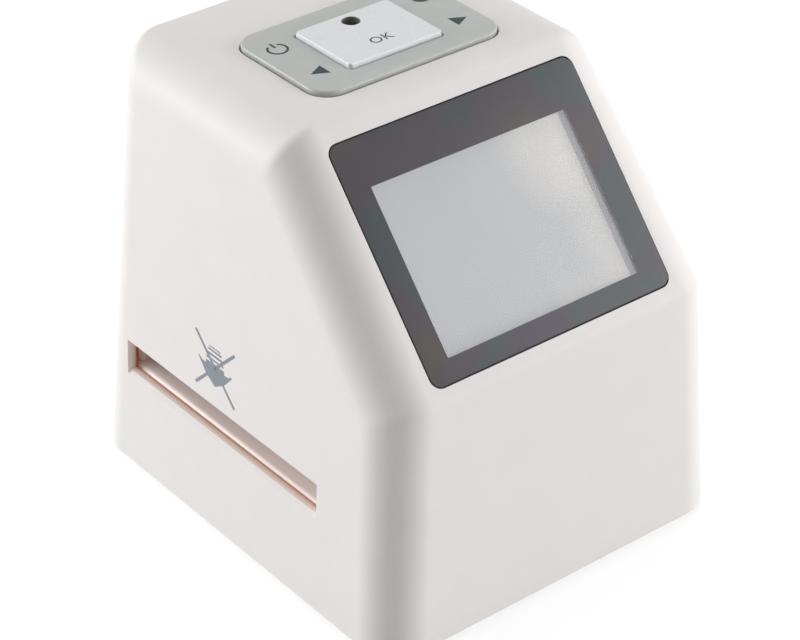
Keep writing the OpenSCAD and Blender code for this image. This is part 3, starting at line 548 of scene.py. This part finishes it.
NODE_FINISH = {
    housing_plastic: ["main_housing", "rear_cover"],
    base_plastic: ["base_plate"],
    rubber: ["foot_front_left", "foot_front_right", "foot_rear_left", "foot_rear_right"],
    zinc: ["base_screws", "display_screws", "key_board_screws", "guide_screws", "tower_screws",
           "main_board_screws"],
    border_dark: ["display_lens"],
    tape_black: ["lens_tape"],
    display_pale: ["lcd_panel"],
    inner_plastic: ["backlight_tray", "light_box"],
    board_green: ["display_board", "key_board", "led_board", "sensor_board", "main_board"],
    key_paint: ["key_plate"],
    black_plastic: ["power_plunger", "left_plunger", "right_plunger", "mode_plunger", "ok_plunger",
                    "power_switch", "left_switch", "right_switch", "mode_switch", "ok_switch",
                    "optic_tower", "lens_barrel", "sensor_mount", "av_jack"],
    silicone: ["key_mat"],
    ok_plastic: ["ok_button"],
    led_clear: ["status_led", "scan_leds"],
    guide_plastic: ["film_guide_lower", "film_guide_upper"],
    opal: ["diffuser"],
    chip_black: ["image_sensor", "processor"],
    tinned: ["usb_socket", "card_socket"],
}


def paint(piece, *finishes):
    """Gives a piece its finishes; a face's own index picks one of them."""
    for finish in finishes:
        piece.data.materials.append(finish)


def soft_shading():
    """Geometry nodes that shade a carried-over node smooth, up to its sharp edges."""
    group = bpy.data.node_groups.new("soft shading", "GeometryNodeTree")
    group.interface.new_socket("Geometry", in_out="INPUT", socket_type="NodeSocketGeometry")
    group.interface.new_socket("Geometry", in_out="OUTPUT", socket_type="NodeSocketGeometry")
    start = group.nodes.new("NodeGroupInput")
    end = group.nodes.new("NodeGroupOutput")
    angle = group.nodes.new("GeometryNodeInputMeshEdgeAngle")
    sharp = group.nodes.new("FunctionNodeCompare")
    sharp.operation = "GREATER_THAN"
    sharp.inputs[1].default_value = SHARP_ANGLE
    faces = group.nodes.new("GeometryNodeSetShadeSmooth")
    faces.domain = "FACE"
    edges = group.nodes.new("GeometryNodeSetShadeSmooth")
    edges.domain = "EDGE"
    edges.inputs["Shade Smooth"].default_value = False
    group.links.new(start.outputs[0], faces.inputs["Geometry"])
    group.links.new(faces.outputs[0], edges.inputs["Geometry"])
    group.links.new(angle.outputs["Unsigned Angle"], sharp.inputs[0])
    group.links.new(sharp.outputs[0], edges.inputs["Selection"])
    group.links.new(edges.outputs[0], end.inputs[0])
    return group


# Radius of the rounded edges of the carried-over mouldings, in millimetres.
EDGE_ROUND = {"rear_cover": 0.25, "base_plate": 0.25, "film_guide_lower": 0.15, "film_guide_upper": 0.15,
              "light_box": 0.2, "optic_tower": 0.2, "sensor_mount": 0.2, "backlight_tray": 0.15,
              "av_jack": 0.12, "processor": 0.08, "image_sensor": 0.06}


def round_edges(node, radius):
    """Rounds the edges between faces that meet at more than ROUND_ANGLE."""
    bevel = node.modifiers.new("round edges", "BEVEL")
    bevel.width = radius * MM
    bevel.segments = 3
    bevel.limit_method = "ANGLE"
    bevel.angle_limit = ROUND_ANGLE
    bevel.use_clamp_overlap = True


SOFT_SHADING = soft_shading()
for finish, names in NODE_FINISH.items():
    for name in names:
        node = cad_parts[name]
        node.data.materials.clear()
        paint(node, finish)
        weld = node.modifiers.new("weld", "WELD")
        weld.merge_threshold = WELD_GAP * MM
        if name in EDGE_ROUND:
            round_edges(node, EDGE_ROUND[name])
        node.modifiers.new("soft shading", "NODES").node_group = SOFT_SHADING


def finished(piece, body, node, slot, *finishes):
    """Shades and paints a piece, and says what it rides on and which node it stands for; its slot is not
    used.
    """
    paint(piece, *finishes)
    shade(piece)
    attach(piece, body)
    if node:
        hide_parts(node)
    return piece


# ------------------------------------------------------------------ housing

def side_view(drop, arc_r):
    """Side view of the housing, drawn in by each value of drop: (drop, point, (y, z)), from the foot up
    the front, over the slope and the top and down the back. A crease is an arc of radius arc_r: its
    centre is the crease of the outline drawn in by drop + arc_r, and its points swing from one
    side's outward normal to the next."""
    corner = np.array([[front_y(0), 0], [CREASE_Y, CREASE_H], [TOP_Y, BODY_H],
                       [back_y(BODY_H), BODY_H], [back_y(0), 0]])
    along = np.diff(corner, axis=0)
    normal = np.stack([-along[:, 1], along[:, 0]], -1) / np.linalg.norm(along, axis=1)[:, None]
    drop = np.asarray(drop, float)[:, None, None]
    rows = [corner[0] - drop * [1 / normal[0, 0], 0]]
    for k in (1, 2, 3):
        before, after = normal[k - 1], normal[k]
        mitre = (before + after) / (1 + before @ after)
        swing = np.linspace(np.arctan2(before[1], before[0]), np.arctan2(after[1], after[0]),
                            CREASE_STEPS + 1)
        arc = arc_r * np.stack([np.cos(swing), np.sin(swing)], -1)
        rows.append(corner[k] - (drop + arc_r) * mitre + arc)
    rows.append(corner[4] - drop * [1 / normal[3, 0], 0])
    return np.concatenate([np.broadcast_to(row, (drop.shape[0], row.shape[1], 2)) for row in rows], 1)


def housing_form(inset, arc_r):
    """The housing's rounded form, drawn in by inset. Towards each side wall the side view shrinks along
    a quarter circle: at angle a it is drawn in by inset + r (1 - cos a) and stands r (1 - sin a)
    inside the wall, which leans in with the height. The angle falls from the left wall to the
    middle and rises again to the right wall."""
    radius = EDGE_R - inset
    angle = np.linspace(np.pi / 2, 0, EDGE_STEPS + 1)
    angle = np.concatenate([angle, angle[::-1]])
    side = np.repeat([-1, 1], EDGE_STEPS + 1)
    outline = side_view(inset + radius * (1 - np.cos(angle)), arc_r)
    half = BODY_W / 2 - inset - radius * (1 - np.sin(angle))
    x = side[:, None] * (half[:, None] - outline[..., 1] * SIDE_LEAN)
    return np.concatenate([x[..., None], outline], -1)


def housing_shell():
    """Outer and inner form, each closed by its side walls, joined by a flat rim at the foot."""
    forms = [housing_form(0, CREASE_R), housing_form(WALL, INNER_CREASE_R)]
    columns, rows = forms[0].shape[:2]
    faces, feet = [], []
    for k, turn in ((0, 1), (1, -1)):
        index = k * columns * rows + np.arange(columns * rows).reshape(columns, rows)
        quads = np.stack([index[:-1, :-1], index[1:, :-1], index[1:, 1:], index[:-1, 1:]], -1)
        sides = [index[0].tolist(), index[-1, ::-1].tolist()]
        faces += [face[::turn] for face in quads.reshape(-1, 4).tolist() + sides]
        feet.append(np.concatenate([index[:, 0], index[::-1, -1]]))
    outer, inner = feet
    faces += np.stack([outer, inner, np.roll(inner, -1), np.roll(outer, -1)], -1).tolist()
    return solid("housing_shell", np.concatenate([form.reshape(-1, 3) for form in forms]), faces)


def slot_cutter(side):
    """The slot's outline in x and z, carried along y: level floor and roof, a bevel down the wall below
    the floor, past the wall on both sides."""
    wall_x = side_x(SLOT_Z)
    outer, inner, roof = wall_x + CUT_PAST, wall_x - 1.5 * CUT_PAST, SLOT_Z + SLOT_H
    outline = np.array([[wall_x - SLOT_BEVEL, SLOT_Z], [outer, SLOT_Z - CUT_PAST - SLOT_BEVEL],
                        [outer, roof], [inner, roof], [inner, SLOT_Z]])
    ends = SLOT_Y + np.array([-1, 1]) * SLOT_LEN / 2
    rings = [np.column_stack([side * outline[:, 0], np.full(len(outline), y), outline[:, 1]]) for y in ends]
    faces = closed_faces(len(rings), len(outline))
    if side > 0:
        faces = [face[::-1] for face in faces]
    return solid("slot_cutter", np.concatenate(rings), faces)


def mark_inside(piece):
    """Gives finish 1, painted warm shade with a painted glow, to the faces that look into the housing,
    finish 2, painted shade and glow, to the cut edges of the slot, finish 3, painted shade, to its bevel,
    which leans outwards, and finish 4, a painted shadow line, to the dark part of the lens's seat. The
    first lie nearly a wall inside the outer planes, by the distance of their middle from the leaning sides,
    front, back, slope and top, and turn towards the middle of the housing."""
    slack = 0.1
    count = len(piece.data.polygons)
    middle, normal = np.empty(count * 3), np.empty(count * 3)
    piece.data.polygons.foreach_get("center", middle)
    piece.data.polygons.foreach_get("normal", normal)
    middle = middle.reshape(-1, 3) / MM - [0, 0, FOOT_H]
    x, y, z = middle.T
    up_slope = (y - CREASE_Y) * np.sin(SLOPE) - (z - CREASE_H) * np.cos(SLOPE)
    depth = np.min([side_x(z) - abs(x), y - front_y(z), back_y(z) - y, up_slope, BODY_H - z], 0)
    inwards = np.sum(normal.reshape(-1, 3) * (middle - [0, 0, BODY_H / 2]), 1) < 0
    in_slot = ((abs(y - SLOT_Y) < SLOT_LEN / 2 + slack) & (depth > 0.15 * WALL)
               & (abs(z - SLOT_Z - SLOT_H / 2) < SLOT_H / 2 + slack))
    bevel = in_slot & (abs(normal[::3]) > 0.5)
    along = (y - CREASE_Y) * np.cos(SLOPE) + (z - CREASE_H) * np.sin(SLOPE)
    # The lens's seat left of LIT_X, which takes the painted shadow line.
    seat_painted_shadow = ((x > LENS_X - LENS_W / 2 - LENS_GAP - 0.01) & (x < LIT_X)
               & (abs(along - LENS_MID) < LENS_H / 2 + LENS_GAP + 0.01)
               & (up_slope > 0.04) & (up_slope < SEAT_DEPTH + slack))
    finish = np.select([bevel, in_slot, seat_painted_shadow, (depth > 0.8 * WALL) & inwards], [3, 2, 4, 1], 0)
    piece.data.polygons.foreach_set("material_index", finish.astype(np.int32))


shell = housing_shell()
cover_h = COVER_HIGH - COVER_LOW
cover_mid = (COVER_LOW + COVER_HIGH) / 2
carve(shell, [
    slot_cutter(-1),
    slot_cutter(1),
    slab("seat", LENS_W + 2 * LENS_GAP, LENS_H + 2 * LENS_GAP, LENS_R + LENS_GAP,
         [(0, -SEAT_DEPTH)] + flared_mouth(SEAT_MOUTH_R, 0), on_slope, (LENS_X, LENS_MID)),
    slab("throat", THROAT_W, THROAT_H, THROAT_R, [(0, -WALL - 2), (0, 1)], on_slope, (0, VIEW_MID)),
    slab("key_opening", KEY_W + 2 * KEY_GAP, KEY_D + 2 * KEY_GAP, KEY_R + KEY_GAP,
         [(0, -WALL - 1)] + flared_mouth(KEY_MOUTH_R, 0), on_top(BODY_H), (0, KEY_Y)),
    slab("cover_seat", COVER_W, cover_h, COVER_R, [(0, -CUT_PAST), (0, COVER_SKIN)], on_back,
         (0, cover_mid)),
    slab("cover_opening", COVER_W - 2 * COVER_LAP, cover_h - 2 * COVER_LAP, COVER_R - 1,
         [(0, -CUT_PAST), (0, WALL + 4)], on_back, (0, cover_mid)),
])
mark_inside(shell)
finished(shell, "housing", "main_housing", "housing", housing_plastic, inside_painted_shade_and_glow, slot_edge_shade_and_glow,
         bevel_painted_shade, lens_edge_painted_shadow)


# ------------------------------------------------------------------ display

def lens_plate():
    """Lens with moulded edges. Flat rings step in from the outline to the window, which is a face of its
    own on the front; on the back the clear face is wider than the throat, so the print at the front
    alone bounds the picture. The edge takes finish 2, a painted shadow line, up to LIT_X."""
    top, foot = -LENS_SINK, -LENS_SINK - LENS_T
    rim = [(0, foot), (0, top - 0.15), (-0.06, top - 0.04), (-0.18, top)]
    back = level_ring(THROAT_W + 2 * CLEAR_PAST, THROAT_H + 2 * CLEAR_PAST, VIEW_R, foot,
                      centre=(0, VIEW_MID))
    window = level_ring(VIEW_W, VIEW_H, VIEW_R, top, centre=(0, VIEW_MID))
    outline = [level_ring(LENS_W, LENS_H, LENS_R, z, grow, (LENS_X, LENS_MID)) for grow, z in rim]
    rings = [back] + outline + [window]
    count = len(window)
    piece = solid("lens_plate", on_slope(np.concatenate(rings)), closed_faces(len(rings), count))
    for face in piece.data.polygons[-2:]:
        face.material_index = 1
    # Left of LIT_X the edge is painted dark: a painted shadow line.
    for face in piece.data.polygons[count:len(outline) * count]:
        face.material_index = 2 if face.center.x < LIT_X * MM else 0
    return piece


# The lens casts no shadow on the display behind it and stays out of reflections.
lens = finished(lens_plate(), "housing", "display_lens", "lens", border_dark, window_clear, lens_edge_painted_shadow)
lens.visible_shadow = False
lens.visible_glossy = False


def display_glass():
    """Display glass: a raised front part in the throat and the wider panel behind it; the picture area
    is a face of its own, inside the dark edge that the viewer sees past the window."""
    panel_top = -WALL - PANEL_GAP
    sizes = [(PANEL_W, PANEL_H, PANEL_R, 0, panel_top - PANEL_T), (PANEL_W, PANEL_H, PANEL_R, 0, panel_top),
             (GLASS_W, GLASS_H, VIEW_R, 0, panel_top), (GLASS_W, GLASS_H, VIEW_R, 0, -GLASS_TOP),
             (PICTURE_W, PICTURE_H, PICTURE_R, PICTURE_X, -GLASS_TOP)]
    rings = [level_ring(w, h, r, z, centre=(x, VIEW_MID), turns=6) for w, h, r, x, z in sizes]
    piece = solid("display_glass", on_slope(np.concatenate(rings)), closed_faces(len(rings), len(rings[0])))
    piece.data.polygons[-1].material_index = 1
    return piece


finished(display_glass(), "housing", "lcd_panel", "display", display_edge, display_pale)


# ------------------------------------------------------------------ keys

def key_cap():
    """Key plate: a cap with a round rim, a flange below the housing wall, a hollow under the deck, the
    throat of the middle button, and posts over the corner switches."""
    level, middle = on_top(0), (0, KEY_Y)
    cap = slab("key_cap", KEY_W, KEY_D, KEY_R, [(0, FLANGE_TOP - JOIN)] + rounded_rim(KEY_RIM, KEY_TOP),
               level, middle, 16)
    flange = slab("flange", KEY_W, KEY_D, KEY_R,
                  [(FLANGE_OUT, FLANGE_TOP - FLANGE_T), (FLANGE_OUT, FLANGE_TOP)], level, middle)
    posts = [slab("post", POST_D, POST_D, POST_D / 2, [(0, POST_END), (0, DECK_UNDER + JOIN)], level,
                  (x, KEY_Y + y), 6) for x in (-SWITCH_X, SWITCH_X) for y in (-SWITCH_Y, SWITCH_Y)]
    hollow = slab("hollow", KEY_W - 2 * KEY_WALL, KEY_D - 2 * KEY_WALL, KEY_R - KEY_WALL,
                  [(0, FLANGE_TOP - CUT_PAST), (0, DECK_UNDER)], level, middle)
    mouth = [(0, FLANGE_TOP - CUT_PAST), (0, KEY_TOP - 0.15), (0.05, KEY_TOP - 0.04), (0.15, KEY_TOP),
             (0.15, KEY_TOP + 1)]
    throat = slab("throat", OK_W, OK_D, OK_R, [(OK_GAP + grow, z) for grow, z in mouth], level,
                  (OK_X, OK_Y))
    carve(cap, [flange], "UNION")
    carve(cap, [hollow, throat])
    carve(cap, posts, "UNION")
    return cap


finished(key_cap(), "key_plate", "key_plate", "key_grey", key_paint)


def ok_cap():
    """Middle button: steep walls that lean in above the plate, a narrow round rim, a lip under the
    plate, a stem on its switch and a bore over the light."""
    level, middle, below = on_top(0), (OK_X, OK_Y), OK_LIP_TOP - CUT_PAST
    rim = [(-OK_LEAN + grow, z) for grow, z in rounded_rim(OK_RIM, OK_FACE)]
    cap = slab("ok_cap", OK_W, OK_D, OK_R, [(0, OK_LIP_TOP - JOIN), (0, KEY_TOP - 0.2)] + rim, level,
               middle)
    lip = slab("lip", OK_W, OK_D, OK_LIP_R,
               [(OK_LIP_OUT, OK_LIP_TOP - OK_LIP_T), (OK_LIP_OUT, OK_LIP_TOP)], level, middle)
    hollow = slab("hollow", OK_W - 2 * OK_WALL, OK_D - 2 * OK_WALL, OK_HOLLOW_R,
                  [(0, below), (0, OK_TOP - OK_ROOF)], level, middle)
    stem = slab("stem", STEM_D, STEM_D, STEM_D / 2, [(0, POST_END), (0, OK_TOP - OK_ROOF + JOIN)], level,
                middle, 8)
    bore = slab("bore", LED_HOLE_D, LED_HOLE_D, LED_HOLE_D / 2,
                [(0, below)] + flared_mouth(LED_MOUTH_R, OK_FACE), level, (LED_X, LED_Y), 12)
    carve(cap, [lip], "UNION")
    carve(cap, [hollow])
    carve(cap, [stem], "UNION")
    carve(cap, [bore])
    # Faces deep in the bore take finish 1, painted shade.
    for face in cap.data.polygons:
        x, y, z = face.center / MM
        if np.hypot(x - LED_X, y - LED_Y) < LED_HOLE_D / 2 + 0.01 and z < FOOT_H + OK_FACE - 0.2:
            face.material_index = 1
    return cap


finished(ok_cap(), "ok_button", "ok_button", "ok_white", ok_plastic, bore_painted_shade)


# ------------------------------------------------------------------ prints

def print_film(name, outlines, place, body, finish, slot, thick=PRINT_T):
    """Printed marks: each outline, in millimetres on its face, becomes a film from a thickness below the
    face to as much above it."""
    points, faces = [], []
    for outline in outlines:
        outline = np.asarray(outline, float)
        count = len(outline)
        first = sum(len(p) for p in points)
        points += [np.column_stack([outline, np.full(count, z)]) for z in (-thick, thick)]
        faces += closed_faces(2, count, first)
    piece = solid(name, place(np.concatenate(points)), faces)
    return finished(piece, body, None, slot, finish)


def arc(centre, radius, start, end, width, count=40):
    """A curved bar: the outer arc there and the inner arc back, about a centre, in degrees."""
    angle = np.radians(np.linspace(start, end, count))
    ray = np.stack([np.cos(angle), np.sin(angle)], -1)
    outer, inner = ray * (radius + width / 2), ray[::-1] * (radius - width / 2)
    return np.concatenate([outer, inner]) + centre


def box_outline(centre, width, height):
    """Outline of a plain bar about its centre."""
    half = np.array([[-1, -1], [1, -1], [1, 1], [-1, 1]]) * [width / 2, height / 2]
    return half + centre


# Signs at the corners of the key plate: power, left, right and the mode key's disc.
power_at = np.array([-18.7, 16.2])
power_line = 0.52
left_at = np.array([-18.2, 3.35])
right_at = np.array([18.4, 3.35])
mode_at = np.array([18.4, 16.4])
mode_d = 2.2
arrow = np.array([[1.8, -1.9], [1.8, 1.9], [-1.8, 0]])
key_marks = {
    "power_mark": [arc(power_at, 2.08, 122, 418, power_line),
                   box_outline(power_at + [0, 1.75], power_line, 2.1)],
    "left_mark": [left_at + arrow],
    "right_mark": [right_at - arrow],
    "mode_mark": [arc(mode_at, mode_d / 2, 0, 360, mode_d, 60)],
}
for name, outlines in key_marks.items():
    print_film(name, outlines, on_top(KEY_TOP), "key_plate", print_slate, "key_grey")


def lettering(name, text, size, at, place, body, finish, slot):
    """Plain lettering as a thin film: a font curve made a mesh, then put in place."""
    curve = bpy.data.curves.new(name, "FONT")
    curve.body = text
    curve.size = size
    curve.align_x = "CENTER"
    curve.align_y = "CENTER"
    curve.extrude = PRINT_T
    curve.space_character = 1.08
    source = bpy.data.objects.new(name + "_curve", curve)
    bpy.context.scene.collection.objects.link(source)
    graph = bpy.context.evaluated_depsgraph_get()
    mesh = bpy.data.meshes.new_from_object(source.evaluated_get(graph), depsgraph=graph)
    bpy.data.objects.remove(source)
    points = np.empty(len(mesh.vertices) * 3)
    mesh.vertices.foreach_get("co", points)
    points = points.reshape(-1, 3) + [at[0], at[1], 0]
    mesh.vertices.foreach_set("co", put(place(points)).ravel())
    mesh.update()
    piece = bpy.data.objects.new(name, mesh)
    bpy.context.scene.collection.objects.link(piece)
    return finished(piece, body, None, slot, finish)


lettering("ok_lettering", "OK", OK_TEXT_SIZE, (OK_X, OK_TEXT_Y), on_top(OK_FACE), "ok_button",
          print_slate, "ok_white")

# Sign over the slot, on the left wall: a broad arrow down to the slot with a striped tail, crossed out.
sign_at = np.array([-6.98, 40.2])
head = np.array([[-5.95, 0.5], [-5.6, 0.7], [-4.6, 0], [-3.25, 0], [-3.2, 0.85], [3.2, 0.85], [3.25, 0],
                 [4.6, 0], [5.6, 0.7], [5.95, 0.4], [3.3, -2.5], [0, -4.5], [-3.3, -2.5]])
tail = [box_outline((0, y), w, h)
        for y, w, h in ((1.72, 6.1, 0.45), (2.85, 5.6, 0.55), (3.93, 4.8, 0.5), (4.7, 3.9, 0.3))]
bars = [np.array([[-7.15, side * -6.25], [-6.65, side * -6.8], [7.15, side * 6.25], [6.65, side * 6.8]])
        for side in (-1, 1)]
print_film("sign_arrow", [outline + sign_at for outline in [head] + tail], on_left, "housing", print_grey,
           "housing")
print_film("sign_cross", [outline[::side] + sign_at for side, outline in zip((-1, 1), bars)], on_left,
           "housing", print_grey, "housing", 1.5 * PRINT_T)

# ------------------------------------------------------------------ camera

# Pixels of the picture, radians from the front, and millimetres.
IMAGE_W, IMAGE_H = 800, 640
SENSOR_W = 36
FOCAL_PX = 2732.4
CENTRE_PX = (409.3, 320.4)
AZIMUTH, ELEVATION, ROLL = np.radians([-38.53, 33.047, -0.23])
DISTANCE = 587.4
TARGET = (2.1, 0, 36.8)


def add_camera():
    """A camera on the ray from the target at the azimuth and elevation, with its centre shifted."""
    back = Vector((np.sin(AZIMUTH) * np.cos(ELEVATION), -np.cos(AZIMUTH) * np.cos(ELEVATION),
                   np.sin(ELEVATION)))
    level = Vector((np.cos(AZIMUTH), np.sin(AZIMUTH), 0))
    up = back.cross(level)
    right = level * np.cos(ROLL) + up * np.sin(ROLL)
    up = up * np.cos(ROLL) - level * np.sin(ROLL)
    data = bpy.data.cameras.new("camera")
    data.sensor_width = SENSOR_W
    data.lens = FOCAL_PX / IMAGE_W * SENSOR_W
    data.shift_x = (IMAGE_W / 2 - CENTRE_PX[0]) / IMAGE_W
    data.shift_y = (CENTRE_PX[1] - IMAGE_H / 2) / IMAGE_W
    data.clip_start, data.clip_end = 0.01, 20
    camera = bpy.data.objects.new("camera", data)
    bpy.context.scene.collection.objects.link(camera)
    target = Vector(put(TARGET)[0])
    turn = Matrix((right, up, back)).transposed().to_4x4()
    camera.matrix_world = Matrix.Translation(target + back * DISTANCE * MM) @ turn
    bpy.context.scene.camera = camera


add_camera()


# ------------------------------------------------------------------ studio

# Softboxes by name, azimuth and elevation in degrees, and strength; their size and distance in metres.
SOFTBOX_SIZE = 1.0
SOFTBOX_DISTANCE = 1.6
SOFTBOX_AIM = Vector((0, 0, 0.05))
SOFTBOXES = (
    ("rear left softbox", 225, 5, 1.03), ("high left softbox", 235, 35, 0.14),
    ("top left softbox", 255, 60, 0.23), ("front right softbox", 38, 5, 0.82),
    ("right softbox", 58, 5, 0.07), ("upper right softbox", 58, 20, 0.31),
    ("top right softbox", 120, 60, 0.31), ("back softbox", 180, 50, 0.06),
)
WORLD_FILL = 0.02
FLOOR_WHITE = 0.39
FLOOR_LIGHT = 0.30


def softbox(name, azimuth, elevation, strength):
    """A square soft light on a ray from the middle of the object, in degrees from the front. Its
    strength is the light that it gives a face turned to it, as a share of what shows white as white."""
    turn, rise = np.radians([azimuth, elevation])
    ray = Vector((np.sin(turn) * np.cos(rise), -np.cos(turn) * np.cos(rise), np.sin(rise)))
    data = bpy.data.lights.new(name, "AREA")
    data.shape = "SQUARE"
    data.size = SOFTBOX_SIZE
    data.energy = strength * np.pi ** 2 * SOFTBOX_DISTANCE ** 2
    light = bpy.data.objects.new(name, data)
    light.location = SOFTBOX_AIM + ray * SOFTBOX_DISTANCE
    light.rotation_mode = "QUATERNION"
    light.rotation_quaternion = ray.to_track_quat("Z", "Y")
    bpy.context.scene.collection.objects.link(light)


for light in SOFTBOXES:
    softbox(*light)


def background_ray(tree):
    """1 for the rays that show the background: from the camera, a reflection or through glass."""
    path = tree.nodes.new("ShaderNodeLightPath")
    seen = path.outputs["Is Camera Ray"]
    for ray in ("Is Glossy Ray", "Is Transmission Ray"):
        seen = arithmetic(tree, "MAXIMUM", seen, path.outputs[ray])
    return seen


def studio_world():
    """A faint light all round, and white where the camera or a reflection looks past the object."""
    world = bpy.data.worlds.new("studio")
    world.use_nodes = True
    bpy.context.scene.world = world
    tree = world.node_tree
    ground = tree.nodes["Background"]
    ground.inputs["Color"].default_value = (1, 1, 1, 1)
    strength = spread(tree, background_ray(tree), WORLD_FILL, 1, 0, 1)
    tree.links.new(strength, ground.inputs["Strength"])


studio_world()


def add_floor():
    """A pale floor: a matte grey that the light falls on, with an even light of its own, as a lit table
    has, plus a white where it is seen as background, so it shows white and keeps the shadow."""
    edge = 6.0
    mesh = bpy.data.meshes.new("floor")
    mesh.from_pydata([(-edge, -edge, 0), (edge, -edge, 0), (edge, edge, 0), (-edge, edge, 0)], [],
                     [(0, 1, 2, 3)])
    floor = bpy.data.objects.new("floor", mesh)
    bpy.context.scene.collection.objects.link(floor)
    material, tree, shader = new_material("studio floor")
    tree.links.new(ramp(tree, noise(tree, 60, 2.0), [(0.3, (0.44, 0.44, 0.44)), (0.7, (0.46, 0.46, 0.46))]),
                   shader.inputs["Base Color"])
    shader.inputs["Roughness"].default_value = 0.9
    shader.inputs["Specular IOR Level"].default_value = 0.0
    glow = tree.nodes.new("ShaderNodeEmission")
    strength = arithmetic(tree, "MULTIPLY_ADD", background_ray(tree), FLOOR_WHITE, FLOOR_LIGHT)
    tree.links.new(strength, glow.inputs["Strength"])
    both = tree.nodes.new("ShaderNodeAddShader")
    tree.links.new(shader.outputs["BSDF"], both.inputs[0])
    tree.links.new(glow.outputs["Emission"], both.inputs[1])
    tree.links.new(both.outputs["Shader"], tree.nodes["Material Output"].inputs["Surface"])
    mesh.materials.append(material)


add_floor()
bpy.context.scene.view_settings.view_transform = "Standard"
